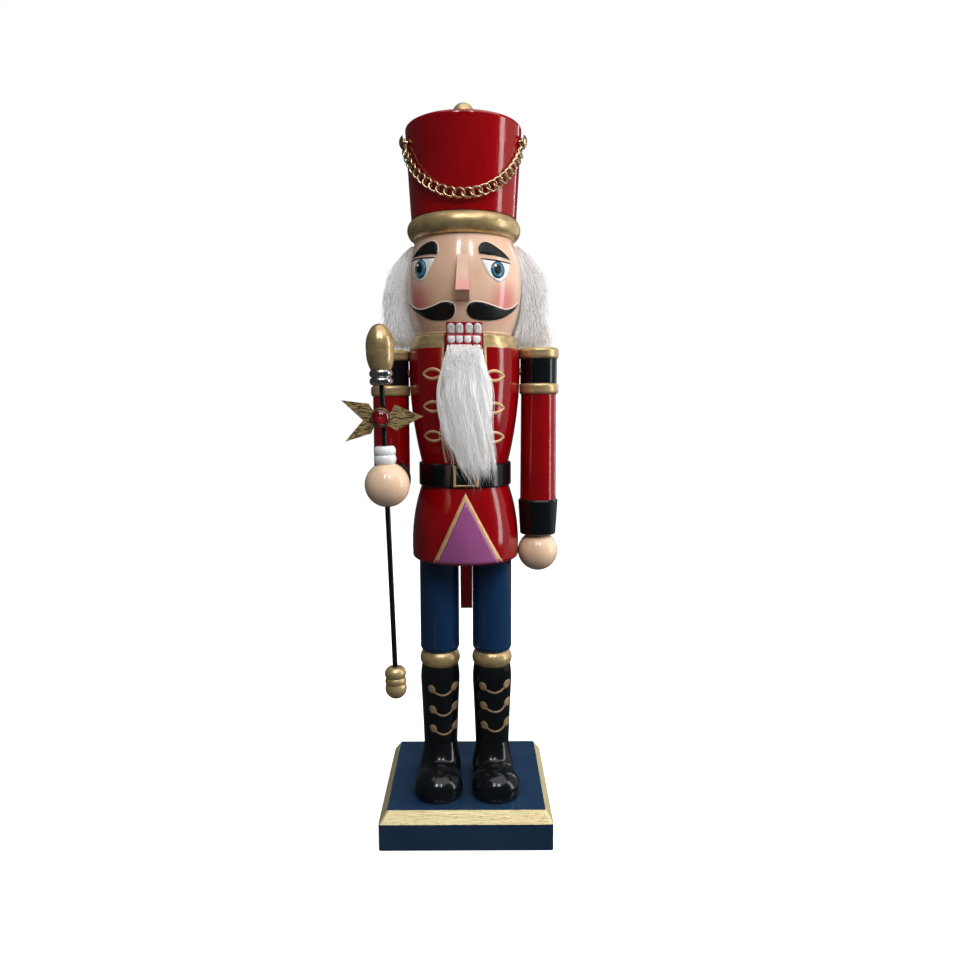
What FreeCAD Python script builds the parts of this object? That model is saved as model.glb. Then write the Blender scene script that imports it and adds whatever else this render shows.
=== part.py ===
"""Wooden nutcracker soldier on a square plinth, with a lever jaw and a staff.

Millimetres. The origin is the middle of the plinth's underside, +Z is up and
the soldier faces -Y, so the soldier's own right hand is on the -X side.
Every turned piece is a separate solid, held to the next one by a dowel.
"""

import math
import os

import FreeCAD
import Part

Vector = FreeCAD.Vector
X_AXIS = Vector(1, 0, 0)
Z_AXIS = Vector(0, 0, 1)

# ---- driving dimensions ----------------------------------------------------
PLINTH_SIDE = 89.6
PLINTH_EDGE_Z = 14.0
PLINTH_TOP_Z = 19.8
PLINTH_BEVEL = 3.8
PLINTH_CORNER_R = 1.5

LEG_X = 14.4
ANKLE_Z = 33.0
BOOT_TOP_Z = 83.8
KNEE_TOP_Z = 92.0
HIP_Z = 144.5
LEG_R = 10.7
TOE_Y = -23.6
TOE_R = 12.8

SKIRT_TOP_Z = 184.2
BELT_TOP_Z = 196.4
BELT_R = 24.7
TORSO_TOP_Z = 262.0
TORSO_R = 29.3
SLOT_HALF = 9.75
SLOT_FLOOR_Z = 212.0

HEAD_TOP_Z = 311.0
HEAD_R = 30.0
BRIM_TOP_Z = 321.5
BRIM_R = 29.5
CROWN_TOP_Z = 367.5
CROWN_LOW_R = 27.3
CROWN_TOP_R = 29.9
FINIAL_R = 5.8
TOTAL_HEIGHT = 380.4

JAW_HALF = 9.4
JAW_TOP_Z = 261.6
JAW_FRONT_R = 28.6
JAW_PIN_Y = 4.0
JAW_PIN_Z = 236.0
JAW_PIN_R = 2.0
JAW_PIN_CLEARANCE = 0.05
TAIL_END_Z = 106.0
TAIL_TAPER = [(200.0, 9.4), (150.0, 3.6), (100.0, 3.4)]

ARM_X_LEFT = 39.4
ARM_FLAT_X = 29.4
ARM_X_RIGHT = -39.4
RIGHT_ARM_DROP = 1.0
SHOULDER_TOP_Z = 256.4
SHOULDER_RING_H = 6.0
EPAULETTE_H = 12.4
SHOULDER_RING_R = 10.6
EPAULETTE_R = 9.7
SLEEVE_TOP_R = 9.3
SLEEVE_LOW_R = 9.6
CUFF_NEAR_R = 9.6
CUFF_FAR_R = 10.6
CUFF_LENGTH = 19.0
CUFF_TO_HAND = 9.5
HAND_R = 10.8
LEFT_HAND_Z = 147.5

RIGHT_HAND = Vector(-36.8, -48.0, 188.9)
RIGHT_ELBOW = Vector(ARM_X_RIGHT, 0.0, 188.9)

STAFF_POINT = Vector(-37.2, -48.0, 188.9)
STAFF_LEAN = -0.0304
STAFF_ROD_R = 1.25
STAFF_HOLE_CLEARANCE = 0.08

DOWEL_R = 2.5
CHAIN_KNOB_Z = 358.6
CHAIN_KNOB_Y = -7.9
CHAIN_KNOB_R = 3.6
CHAIN_KNOB_BACK = 30.6
CHAIN_END_ANGLE = math.radians(73.0)
CHAIN_LOW_Z = 328.4
CHAIN_LINKS = 23
CHAIN_STAND_OFF = 2.2
END_RING_R = 2.0
END_RING_X = 29.88
END_RING_DROP = 0.48
LINK_WIRE_R = 0.55
LINK_SLACK = 0.14
LINK_LEAN_DEG = 27.0


# ---- helpers ---------------------------------------------------------------
def turned(outline, centre=Vector(0, 0, 0)):
    """Solid of revolution about a vertical axis.

    outline runs from the bottom of the axis to its top. Each entry is (r, z)
    for a straight run, or (r_mid, z_mid, r, z) for an arc through a middle point.
    """
    edges = []
    first = Vector(0, 0, outline[0][-1])
    here = first
    for entry in list(outline) + [(0.0, outline[-1][-1])]:
        there = Vector(entry[-2], 0, entry[-1])
        if len(entry) == 4:
            edges.append(Part.Arc(here, Vector(entry[0], 0, entry[1]), there).toShape())
        elif there.distanceToPoint(here) > 1e-6:
            edges.append(Part.LineSegment(here, there).toShape())
        here = there
    if here.distanceToPoint(first) > 1e-6:
        edges.append(Part.LineSegment(here, first).toShape())
    face = Part.Face(Part.Wire(edges))
    solid = face.revolve(Vector(0, 0, 0), Z_AXIS, 360)
    solid.translate(centre)
    return solid


def dome(radius, z, top):
    """Arc entry of a shallow round end, from (radius, z) up to the axis at top."""
    rise = top - z
    ball_r = (radius ** 2 + rise ** 2) / (2 * rise)
    half_angle = math.asin(radius / ball_r) / 2
    return (ball_r * math.sin(half_angle), top - ball_r + ball_r * math.cos(half_angle), 0.0, top)


def bowl(ball_r, bottom, z):
    """Arc entry of a ball's underside, from the axis at bottom up to a height."""
    centre = bottom + ball_r
    return (ball_r, centre, math.sqrt(ball_r ** 2 - (z - centre) ** 2), z)


def rod(radius, start, end):
    """Round rod from start to end."""
    return Part.makeCylinder(radius, start.distanceToPoint(end), start, end - start)


def dowel(x, y, z, half_length, radius=DOWEL_R):
    """Upright dowel centred at (x, y, z)."""
    return rod(radius, Vector(x, y, z - half_length), Vector(x, y, z + half_length))


def aim(solid, at, direction):
    """Take a solid drawn up the Z axis and lay its axis along a direction."""
    turn = FreeCAD.Rotation(Z_AXIS, direction)
    moved = solid.copy()
    moved.Placement = FreeCAD.Placement(at, turn).multiply(moved.Placement)
    return moved


def drilled(solid, *tools):
    """Solid less each of the tools."""
    for tool in tools:
        solid = solid.cut(tool)
    return solid


def prism(points, half_width):
    """Closed outline in the Y-Z plane, extruded to x = +-half_width."""
    corners = [Vector(-half_width, y, z) for y, z in points]
    face = Part.Face(Part.makePolygon(corners + corners[:1]))
    return face.extrude(Vector(2 * half_width, 0, 0))


# ---- plinth and legs -------------------------------------------------------
def rounded_square(side, z):
    """Closed wire of a square with rounded corners, centred on the axis."""
    straight = side / 2 - PLINTH_CORNER_R
    reach = side / 2
    corner = straight + PLINTH_CORNER_R * math.sqrt(0.5)
    edges = []
    for quarter in range(4):
        turn = FreeCAD.Rotation(Z_AXIS, 90.0 * quarter)
        start, end, mid, after = [turn.multVec(Vector(x, y, z)) for x, y in (
            (reach, -straight), (reach, straight), (corner, corner), (straight, reach))]
        edges.append(Part.LineSegment(start, end).toShape())
        edges.append(Part.Arc(end, mid, after).toShape())
    return Part.Wire(edges)


def plinth():
    """Square block with a bevelled top edge and softened corners."""
    foot = rounded_square(PLINTH_SIDE, 0.0)
    shoulder = rounded_square(PLINTH_SIDE, PLINTH_EDGE_Z)
    top = rounded_square(PLINTH_SIDE - 2 * PLINTH_BEVEL, PLINTH_TOP_Z)
    block = Part.Face(foot).extrude(Vector(0, 0, PLINTH_EDGE_Z))
    return block.fuse(Part.makeLoft([shoulder, top], True, True))


def leg_screw(x):
    """Countersunk wood screw driven up through the plinth into the boot."""
    head_r, head_z, shank_r, tip_z = 4.0, 5.0, 1.8, 58.0
    return turned([(head_r, head_z), (head_r, head_z + 1.0), (shank_r, head_z + 4.0),
                   (shank_r, tip_z - 5.0), (0.2, tip_z)], Vector(x, 0, 0))


def screw_well(x):
    """Counterbore under the screw head."""
    return rod(4.6, Vector(x, 0, -1), Vector(x, 0, 5.0))


def shoe(x):
    """Bulbous turned toe, joined to a round heel by the instep."""
    sole = PLINTH_TOP_Z
    toe = turned([(11.2, sole), (TOE_R, sole + 4.6, 9.4, sole + 11.4), dome(9.4, sole + 11.4, sole + 15.2)],
                 Vector(x, TOE_Y, 0))
    heel = turned([(9.2, sole), (9.9, sole + 3.0, 9.2, ANKLE_Z)], Vector(x, 0, 0))
    instep_section = [(TOE_Y, sole), (2.0, sole), (2.0, ANKLE_Z), (-9.0, ANKLE_Z), (TOE_Y, sole + 11.0)]
    instep = prism(instep_section, 8.6)
    instep.translate(Vector(x, 0, 0))
    return toe.fuse([heel, instep]).removeSplitter()


def boot_shaft(x):
    """Boot leg, slim at the ankle and full under the knee band."""
    outline = [(9.1, ANKLE_Z), (9.9, 56.0, LEG_R, 74.0), (10.65, 79.5, 10.1, BOOT_TOP_Z)]
    return turned(outline, Vector(x, 0, 0))


def knee_band(x):
    """Bulged ring between boot and trouser leg."""
    middle = (BOOT_TOP_Z + KNEE_TOP_Z) / 2
    return turned([(9.3, BOOT_TOP_Z), (11.0, middle, 9.3, KNEE_TOP_Z)], Vector(x, 0, 0))


def trouser_leg(x):
    """Straight trouser leg with a rounded lower end."""
    return turned([(9.0, KNEE_TOP_Z), (10.3, KNEE_TOP_Z + 1.4, LEG_R, KNEE_TOP_Z + 4.0), (LEG_R, HIP_Z)],
                  Vector(x, 0, 0))


# ---- body ------------------------------------------------------------------
def skirt():
    """Jacket skirt, a bell with a rolled lower edge."""
    return turned([(26.4, HIP_Z), (28.0, HIP_Z + 0.7, 28.6, HIP_Z + 2.7), (27.7, 166.5, 23.4, SKIRT_TOP_Z)])


def belt():
    """Plain belt disc that stands a little proud of the waist."""
    edge = 0.6
    return turned([(BELT_R - edge, SKIRT_TOP_Z), (BELT_R, SKIRT_TOP_Z + edge),
                   (BELT_R, BELT_TOP_Z - edge), (BELT_R - edge, BELT_TOP_Z)])


def torso_blank():
    """Chest before the lever slot is sawn, with the coned collar on top."""
    return turned([(23.2, BELT_TOP_Z), (27.4, 218.6, TORSO_R, 242.0), (TORSO_R, 255.0),
                   (27.7, 260.8), (27.2, 261.7, 26.4, TORSO_TOP_Z)])


def lever_slot():
    """Straight saw slot from front to back, open at the top."""
    reach = 40.0
    return Part.makeBox(2 * SLOT_HALF, 2 * reach, 80.0, Vector(-SLOT_HALF, -reach, SLOT_FLOOR_Z))


def jaw_pin(radius):
    """Hinge pin across the slot, put in from the soldier's left shoulder."""
    return rod(radius, Vector(-20.0, JAW_PIN_Y, JAW_PIN_Z), Vector(28.4, JAW_PIN_Y, JAW_PIN_Z))


def jaw_lever():
    """Jaw block, cross bar and coat-tail lever, sawn in one piece."""
    tail_inner, tail_outer = 30.0, 38.0
    side = [(-32.0, JAW_TOP_Z), (-3.0, JAW_TOP_Z), (22.0, 250.0), (31.0, 247.0), (36.0, 244.0),
            (tail_outer, 238.0), (40.0, TAIL_END_Z + 2.0), (38.0, TAIL_END_Z), (34.0, TAIL_END_Z),
            (32.0, TAIL_END_Z + 2.0), (tail_inner, 215.0), (24.0, 223.0), (-14.0, 223.0), (-32.0, 231.0)]
    front = Part.makeCylinder(JAW_FRONT_R, 200.0, Vector(0, 0, 90.0))
    behind = Part.makeBox(80.0, 60.0, 200.0, Vector(-40.0, 0, 90.0))
    taper = [Vector(half, -50.0, z) for z, half in TAIL_TAPER]
    taper += [Vector(-half, -50.0, z) for z, half in reversed(TAIL_TAPER)]
    top = [Vector(-JAW_HALF, -50.0, 270.0), Vector(JAW_HALF, -50.0, 270.0)]
    tapered = Part.Face(Part.makePolygon(top + taper + top[:1])).extrude(Vector(0, 100.0, 0))
    return prism(side, JAW_HALF).common(front.fuse(behind)).common(tapered)


# ---- head and hat ----------------------------------------------------------
def head():
    """Barrel-shaped head with a flat underside against the jaw."""
    return turned([(24.0, TORSO_TOP_Z), (24.8, TORSO_TOP_Z + 0.3, 25.1, TORSO_TOP_Z + 1.3),
                   (HEAD_R, 284.5, 25.2, HEAD_TOP_Z)])


def nose():
    """Faceted wedge nose, narrower at the bridge, glued to the front of the head."""
    low_z, high_z = 277.8, 300.0
    profile = [(-26.0, high_z), (-29.0, high_z), (-36.4, 281.9), (-30.4, low_z), (-26.0, low_z)]
    near_y, far_y = -40.0, -20.0
    outlines = []
    for x_low, x_high, z in ((-4.0, 3.0, low_z), (-2.9, 2.0, high_z)):
        corners = [Vector(x, y, z) for x, y in (
            (x_low, near_y), (x_high, near_y), (x_high, far_y), (x_low, far_y))]
        outlines.append(Part.makePolygon(corners + corners[:1]))
    return prism(profile, 6.0).common(Part.makeLoft(outlines, True, True))


def hat_brim():
    """Heavy bulged ring under the hat."""
    low, high = HEAD_TOP_Z, BRIM_TOP_Z
    return turned([(26.2, low), (BRIM_R, (low + high) / 2, 26.4, high)])


def crown_radius(z):
    """Radius of the tapered hat crown at a height."""
    share = (z - BRIM_TOP_Z) / (CROWN_TOP_Z - BRIM_TOP_Z)
    return CROWN_LOW_R + share * (CROWN_TOP_R - CROWN_LOW_R)


def hat_crown():
    """Tall crown, wider at the top, with a softened upper edge."""
    edge, mid = 1.8, 0.53
    return turned([(CROWN_LOW_R, BRIM_TOP_Z), (CROWN_TOP_R, CROWN_TOP_Z - edge),
                   (CROWN_TOP_R - mid, CROWN_TOP_Z - mid, CROWN_TOP_R - edge, CROWN_TOP_Z)])


def hat_finial():
    """Ball on a short neck with a peg into the crown."""
    centre = TOTAL_HEIGHT - FINIAL_R
    neck_r, peg_r, peg = 3.2, 1.5, 8.0
    join = centre - math.sqrt(FINIAL_R ** 2 - neck_r ** 2)
    return turned([(peg_r, CROWN_TOP_Z - peg), (peg_r, CROWN_TOP_Z), (neck_r, CROWN_TOP_Z), (neck_r, join),
                   (FINIAL_R, centre, 0.0, TOTAL_HEIGHT)])


def chain_knob(side):
    """Dome-headed nail in one side of the hat; the chain's end ring hangs on it."""
    shank_r, dome_h = 0.9, 1.9
    back = CHAIN_KNOB_BACK
    shape = turned([(shank_r, back - 9.0), (shank_r, back), (CHAIN_KNOB_R, back),
                    dome(CHAIN_KNOB_R, back, back + dome_h)])
    return aim(shape, Vector(0, CHAIN_KNOB_Y, CHAIN_KNOB_Z), X_AXIS * side)


def chain_point(angle, top_z):
    """Point of the chain's middle line, at an angle round the hat from its front."""
    rise = (angle / CHAIN_END_ANGLE) ** 2
    z = CHAIN_LOW_Z + rise * (top_z - CHAIN_LOW_Z)
    radius = crown_radius(z) + CHAIN_STAND_OFF
    return Vector(radius * math.sin(angle), -radius * math.cos(angle), z)


def hat_chain():
    """Links hung from knob to knob, leaning to one side and the other in turn.

    A small ring on each knob's shank carries the chain's end.
    """
    ring_z = CHAIN_KNOB_Z - END_RING_DROP
    ring_low = ring_z - END_RING_R - LINK_WIRE_R
    fine = 400
    top_z = ring_low - 1.3
    samples = [chain_point(CHAIN_END_ANGLE * (2 * i / fine - 1), top_z) for i in range(fine + 1)]
    reach = [0.0]
    for before, after in zip(samples, samples[1:]):
        reach.append(reach[-1] + before.distanceToPoint(after))
    pitch = reach[-1] / CHAIN_LINKS
    link_r = pitch / 2 + LINK_WIRE_R + LINK_SLACK / 2

    def at(distance):
        """Point of the middle line at a distance from its start."""
        i = min(max(sum(1 for r in reach if r < distance), 1), fine)
        share = (distance - reach[i - 1]) / (reach[i] - reach[i - 1])
        return samples[i - 1] + (samples[i] - samples[i - 1]) * share

    links = []
    for n in range(CHAIN_LINKS):
        middle = at((n + 0.5) * pitch)
        along = (at((n + 1) * pitch) - at(n * pitch)).normalize()
        outward = Vector(middle.x, middle.y, 0).normalize()
        flat_normal = along.cross(outward).cross(along).normalize()
        lean = FreeCAD.Rotation(along, LINK_LEAN_DEG if n % 2 else -LINK_LEAN_DEG)
        links.append(Part.makeTorus(link_r, LINK_WIRE_R, middle, lean.multVec(flat_normal)))
    for side in (-1, 1):
        ring_at = Vector(side * END_RING_X, CHAIN_KNOB_Y, ring_z)
        links.append(Part.makeTorus(END_RING_R, LINK_WIRE_R, ring_at, X_AXIS))
    return Part.makeCompound(links)


# ---- hair ------------------------------------------------------------------
def wig():
    """Soft strip of hair round the sides and back of the head."""
    inner, thick, low_z, high_z = HEAD_R + 0.5, 11.0, 262.5, 309.0
    ring = turned([(inner + thick, low_z), (inner + thick, high_z - 9.0), (inner + 2.5, high_z)])
    ring = ring.cut(Part.makeCylinder(inner, 80.0, Vector(0, 0, 250.0)))
    face_side = Part.makeBox(100.0, 60.0, 80.0, Vector(-50.0, -60.0 - 7.0, 250.0))
    return ring.cut(face_side)


def beard():
    """Soft beard hung from the front of the jaw block, down to the belt."""
    back_y, front_y = -29.6, -35.6
    outline = [(-9.0, 255.0), (9.0, 255.0), (13.0, 238.0), (14.5, 222.0), (15.0, 206.0),
               (10.0, 188.0), (-6.0, 190.0), (-11.0, 208.0), (-12.0, 226.0), (-10.5, 242.0)]
    corners = [Vector(x, back_y, z) for x, z in outline]
    slab = Part.Face(Part.makePolygon(corners + corners[:1])).extrude(Vector(0, front_y - back_y, 0))
    root = Part.makeBox(17.0, 8.0, 15.0, Vector(-8.5, front_y + 1.0, 240.0))
    return slab.fuse(root).cut(Part.makeCylinder(JAW_FRONT_R, 60.0, Vector(0, 0, 220.0))).removeSplitter()


# ---- arms ------------------------------------------------------------------
def ring(radius, low_z, high_z, centre):
    """Turned band with fully rounded edges."""
    soft, mid = 1.8, 0.53
    return turned([(radius - soft, low_z), (radius - mid, low_z + mid, radius, low_z + soft),
                   (radius, high_z - soft), (radius - mid, high_z - mid, radius - soft, high_z)], centre)


def hand_blank():
    """Ball with a flat where it sits in the cuff, drawn with the cuff above it."""
    flat_r = math.sqrt(HAND_R ** 2 - CUFF_TO_HAND ** 2)
    return turned([(0.0, -HAND_R), (HAND_R, 0.0, flat_r, CUFF_TO_HAND)])


def cuff_blank():
    """Flared cuff, drawn with the hand's centre at the origin."""
    low, high = CUFF_TO_HAND, CUFF_TO_HAND + CUFF_LENGTH
    return turned([(CUFF_NEAR_R - 0.5, low), (CUFF_NEAR_R, low + 0.5),
                   (CUFF_FAR_R, high - 0.8), (CUFF_FAR_R - 0.8, high)])


def add_arm(pieces, side, arm_x, drop):
    """Shoulder stack and its dowels for one arm; the sleeve and hand follow."""
    top = SHOULDER_TOP_Z - drop
    band_top = top - SHOULDER_RING_H
    band_low = band_top - EPAULETTE_H
    low = band_low - SHOULDER_RING_H
    spine = rod(DOWEL_R, Vector(arm_x, 0, top - 3.0), Vector(arm_x, 0, low - 12.0))
    axis = Vector(arm_x, 0, 0)
    flat = Part.makeBox(2 * ARM_FLAT_X, 60.0, 60.0, Vector(-ARM_FLAT_X, -30.0, 210.0))
    pieces["shoulder_ring_upper_" + side] = drilled(ring(SHOULDER_RING_R, band_top, top, axis), spine, flat)
    pieces["shoulder_ring_lower_" + side] = drilled(ring(SHOULDER_RING_R, low, band_low, axis), spine, flat)
    inward = -1 if arm_x > 0 else 1
    shoulder_z = (band_top + band_low) / 2
    outer_end = Vector(arm_x + inward * (DOWEL_R + 1.5), 0, shoulder_z)
    inner_end = Vector(arm_x + inward * 18.0, 0, shoulder_z)
    shoulder_dowel = rod(2.0, outer_end, inner_end)
    band = turned([(EPAULETTE_R, band_low), (EPAULETTE_R, band_top)], Vector(arm_x, 0, 0))
    pieces["epaulette_band_" + side] = drilled(band, spine, shoulder_dowel)
    pieces["torso"] = pieces["torso"].cut(shoulder_dowel)
    pieces["arm_dowels_" + side] = Part.makeCompound([spine, shoulder_dowel])
    return low, spine


def add_left_arm(pieces):
    """Straight arm hanging at the soldier's left side."""
    low, spine = add_arm(pieces, "left", ARM_X_LEFT, 0.0)
    hand_at = Vector(ARM_X_LEFT, 0, LEFT_HAND_Z)
    cuff_top = LEFT_HAND_Z + CUFF_TO_HAND + CUFF_LENGTH
    wrist = rod(DOWEL_R, hand_at + Vector(0, 0, 3.0), Vector(ARM_X_LEFT, 0, cuff_top + 8.0))
    sleeve = turned([(SLEEVE_LOW_R, cuff_top), (SLEEVE_TOP_R, low)], Vector(ARM_X_LEFT, 0, 0))
    pieces["sleeve_left"] = drilled(sleeve, spine, wrist)
    pieces["cuff_left"] = aim(cuff_blank(), hand_at, Z_AXIS).cut(wrist)
    pieces["hand_left"] = aim(hand_blank(), hand_at, Z_AXIS).cut(wrist)
    pieces["wrist_dowel_left"] = wrist


def staff_direction():
    """Unit vector up the staff, which leans outward at the top."""
    return Vector(STAFF_LEAN, 0, 1).normalize()


def staff_at(z):
    """Point of the staff's axis at a height."""
    up = staff_direction()
    return STAFF_POINT + up * ((z - STAFF_POINT.z) / up.z)


def add_right_arm(pieces):
    """Arm bent at a mitred elbow, the forearm held out to the front."""
    low, spine = add_arm(pieces, "right", ARM_X_RIGHT, RIGHT_ARM_DROP)
    back = (RIGHT_ELBOW - RIGHT_HAND).normalize()
    reach = 40.0
    across = (back + Z_AXIS).normalize()
    half_space = aim(Part.makeBox(2 * reach, 2 * reach, reach, Vector(-reach, -reach, 0)),
                     RIGHT_ELBOW, across)
    upper = rod(SLEEVE_LOW_R, RIGHT_ELBOW - Vector(0, 0, 20.0), Vector(ARM_X_RIGHT, 0, low))
    wrist_end = RIGHT_HAND + back * (CUFF_TO_HAND + CUFF_LENGTH)
    fore = rod(SLEEVE_LOW_R, wrist_end, RIGHT_ELBOW + back * 20.0)
    elbow_dowel = rod(2.0, RIGHT_ELBOW - across * 7.0, RIGHT_ELBOW + across * 7.0)
    wrist = rod(DOWEL_R, RIGHT_HAND + back * 4.5, wrist_end + back * 6.0)
    pieces["sleeve_right"] = drilled(upper.common(half_space), spine, elbow_dowel)
    pieces["forearm_right"] = drilled(fore.cut(half_space), wrist, elbow_dowel)
    pieces["elbow_dowel"] = elbow_dowel
    pieces["cuff_right"] = aim(cuff_blank(), RIGHT_HAND, back).cut(wrist)
    staff_hole = rod(STAFF_ROD_R + STAFF_HOLE_CLEARANCE, staff_at(160.0), staff_at(220.0))
    pieces["hand_right"] = drilled(aim(hand_blank(), RIGHT_HAND, back), wrist, staff_hole)
    pieces["wrist_dowel_right"] = wrist


# ---- staff -----------------------------------------------------------------
def on_staff(outline):
    """Turned piece threaded on the staff; outline heights are true heights."""
    lowered = [tuple(v - STAFF_POINT.z if i % 2 else v for i, v in enumerate(entry))
               for entry in outline]
    return aim(turned(lowered), STAFF_POINT, staff_direction())


def staff_plate():
    """Gilt arrow plate: a long head to one side and a notched tail to the other."""
    back_y, thick = -48.6, 2.2
    outline = [(-19.2, 221.4), (-32.4, 226.9), (-34.7, 223.1), (-42.8, 224.2), (-44.9, 227.5),
               (-57.6, 229.1), (-47.5, 219.7), (-56.2, 209.6), (-43.9, 213.4), (-42.7, 216.4),
               (-35.1, 216.9), (-32.1, 214.7)]
    corners = [Vector(x, back_y, z) for x, z in outline]
    return Part.Face(Part.makePolygon(corners + corners[:1])).extrude(Vector(0, -thick, 0))


def add_staff(pieces):
    """Staff with its egg finial, collars, arrow plate, stone and foot knob."""
    rod_low, rod_top = 86.0, 246.5
    stick = rod(STAFF_ROD_R, staff_at(rod_low), staff_at(rod_top))
    egg = on_staff([(4.9, 243.4), (6.3, 247.4, 6.65, 252.6), (6.05, 258.6, 4.3, 262.2), dome(4.3, 262.2, 264.8)])
    silver = on_staff([(4.6, 236.2), (5.7, 238.0, 4.6, 239.8), (5.7, 241.6, 4.6, 243.4)])
    white = on_staff([(4.4, 198.6), (5.4, 200.8, 4.8, 203.1), (5.3, 205.2, 4.2, 207.4)])
    foot = on_staff([(0.0, 82.5), bowl(5.3, 82.5, 90.0), (5.2, 91.6, 4.6, 93.2), (5.2, 95.8, 3.6, 98.4)])
    ball_seat = Part.makeSphere(HAND_R + 0.15, RIGHT_HAND)
    gem_at = Vector(-39.1, -50.8, 221.0)
    forward = Vector(0, -1, 0)
    gem_r = 3.8
    gem = aim(turned([(gem_r, 0.0), (gem_r, 1.3), dome(gem_r, 1.3, 3.1)]), gem_at, forward)
    rim = turned([(4.7, 0.0), (4.7, 0.9), (4.3, 1.3, gem_r - 0.2, 1.3)])
    bezel = aim(rim.cut(Part.makeCylinder(gem_r, 4.0, Vector(0, 0, -1.0))), gem_at, forward)
    pieces["staff_rod"] = stick
    pieces["staff_egg"] = egg.cut(stick)
    pieces["staff_silver_collar"] = silver.cut(stick)
    pieces["staff_arrow_plate"] = staff_plate().cut(stick)
    pieces["staff_gem_bezel"] = bezel
    pieces["staff_gem"] = gem
    pieces["staff_hand_collar"] = drilled(white, stick, ball_seat)
    pieces["staff_foot_knob"] = foot.cut(stick)


# ---- assembly --------------------------------------------------------------
def add_legs(pieces):
    """Plinth, screws, shoes, boots, knee bands, trouser legs and dowels."""
    pieces["base_plinth"] = plinth()
    screws = []
    knee_dowels = []
    hip_dowels = []
    for side, x in (("right", -LEG_X), ("left", LEG_X)):
        screw = leg_screw(x)
        knee = dowel(x, 0, (BOOT_TOP_Z + KNEE_TOP_Z) / 2, 12.0)
        hip = dowel(x, 0, HIP_Z, 10.0)
        pieces["base_plinth"] = drilled(pieces["base_plinth"], screw, screw_well(x))
        pieces["shoe_" + side] = shoe(x).cut(screw)
        pieces["boot_shaft_" + side] = drilled(boot_shaft(x), screw, knee)
        pieces["knee_band_" + side] = knee_band(x).cut(knee)
        pieces["trouser_leg_" + side] = drilled(trouser_leg(x), knee, hip)
        screws.append(screw)
        knee_dowels.append(knee)
        hip_dowels.append(hip)
    pieces["leg_screws"] = Part.makeCompound(screws)
    pieces["knee_dowels"] = Part.makeCompound(knee_dowels)
    pieces["hip_dowels"] = Part.makeCompound(hip_dowels)
    pieces["jacket_skirt"] = drilled(skirt(), *hip_dowels)


def add_body(pieces):
    """Skirt, belt, torso, hinge pin and the waist dowel."""
    waist = dowel(0, 0, (SKIRT_TOP_Z + BELT_TOP_Z) / 2, 14.0)
    pieces["jacket_skirt"] = pieces["jacket_skirt"].cut(waist)
    pieces["belt"] = belt().cut(waist)
    pin = jaw_pin(JAW_PIN_R)
    pieces["torso"] = drilled(torso_blank(), lever_slot(), waist, pin)
    pieces["waist_dowel"] = waist
    pieces["jaw_pin"] = pin
    pieces["jaw_lever"] = jaw_lever().cut(jaw_pin(JAW_PIN_R + JAW_PIN_CLEARANCE))
    pieces["beard"] = beard()


def add_head(pieces):
    """Head on two dowels, nose, wig and the hat with its chain."""
    neck = [dowel(x, 0, TORSO_TOP_Z, 10.0) for x in (-17.5, 17.5)]
    hat = dowel(0, 0, (HEAD_TOP_Z + BRIM_TOP_Z) / 2, 16.0, 4.0)
    pieces["torso"] = drilled(pieces["torso"], *neck)
    pieces["neck_dowels"] = Part.makeCompound(neck)
    head_solid = drilled(head(), hat, *neck)
    pieces["nose"] = nose().cut(head_solid)
    pieces["head"] = head_solid
    pieces["wig"] = wig()
    pieces["hat_brim_ring"] = hat_brim().cut(hat)
    pieces["hat_dowel"] = hat
    knobs = {"chain_knob_right": chain_knob(-1), "chain_knob_left": chain_knob(1)}
    pieces["hat_finial"] = hat_finial()
    pieces["hat_crown"] = drilled(hat_crown(), hat, pieces["hat_finial"], *knobs.values())
    pieces.update(knobs)
    pieces["hat_chain"] = hat_chain()


def build():
    """All pieces of the nutcracker, by node name."""
    pieces = {}
    add_legs(pieces)
    add_body(pieces)
    add_head(pieces)
    add_left_arm(pieces)
    add_right_arm(pieces)
    add_staff(pieces)
    return pieces


os.makedirs("parts", exist_ok=True)
for name, shape in build().items():
    solids = shape.Solids
    print(f"{name:24s} solids {len(solids):2d} valid {shape.isValid()} volume {shape.Volume:10.1f} mm3")
    shape.exportStep(f"parts/{name}.step")
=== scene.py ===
"""Painted wooden nutcracker soldier: paint, fur, chain and staff over its turned pieces."""

import logging
import math
import random
from dataclasses import dataclass, field
from enum import Enum
from typing import Any, Callable, Iterable, Sequence

import bpy
from mathutils import Matrix, Vector
from mathutils.bvhtree import BVHTree
from mathutils.geometry import delaunay_2d_cdt


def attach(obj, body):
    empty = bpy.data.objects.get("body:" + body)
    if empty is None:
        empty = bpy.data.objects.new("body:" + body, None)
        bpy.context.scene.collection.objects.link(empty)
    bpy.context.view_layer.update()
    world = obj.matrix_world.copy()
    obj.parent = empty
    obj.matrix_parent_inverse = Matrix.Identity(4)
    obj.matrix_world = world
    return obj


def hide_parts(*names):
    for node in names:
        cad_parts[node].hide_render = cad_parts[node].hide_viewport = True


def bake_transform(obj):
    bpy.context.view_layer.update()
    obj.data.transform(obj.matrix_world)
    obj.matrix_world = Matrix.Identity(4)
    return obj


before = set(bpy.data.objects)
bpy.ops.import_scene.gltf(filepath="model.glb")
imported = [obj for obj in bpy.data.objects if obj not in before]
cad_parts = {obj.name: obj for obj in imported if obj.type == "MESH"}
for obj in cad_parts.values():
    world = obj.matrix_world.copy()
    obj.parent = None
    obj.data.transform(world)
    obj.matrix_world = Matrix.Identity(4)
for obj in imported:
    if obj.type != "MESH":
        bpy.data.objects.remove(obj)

LOG = logging.getLogger("nutcracker")
MM = 0.001
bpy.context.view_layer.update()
Colour = tuple[float, float, float]
Point2 = tuple[float, float]
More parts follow.
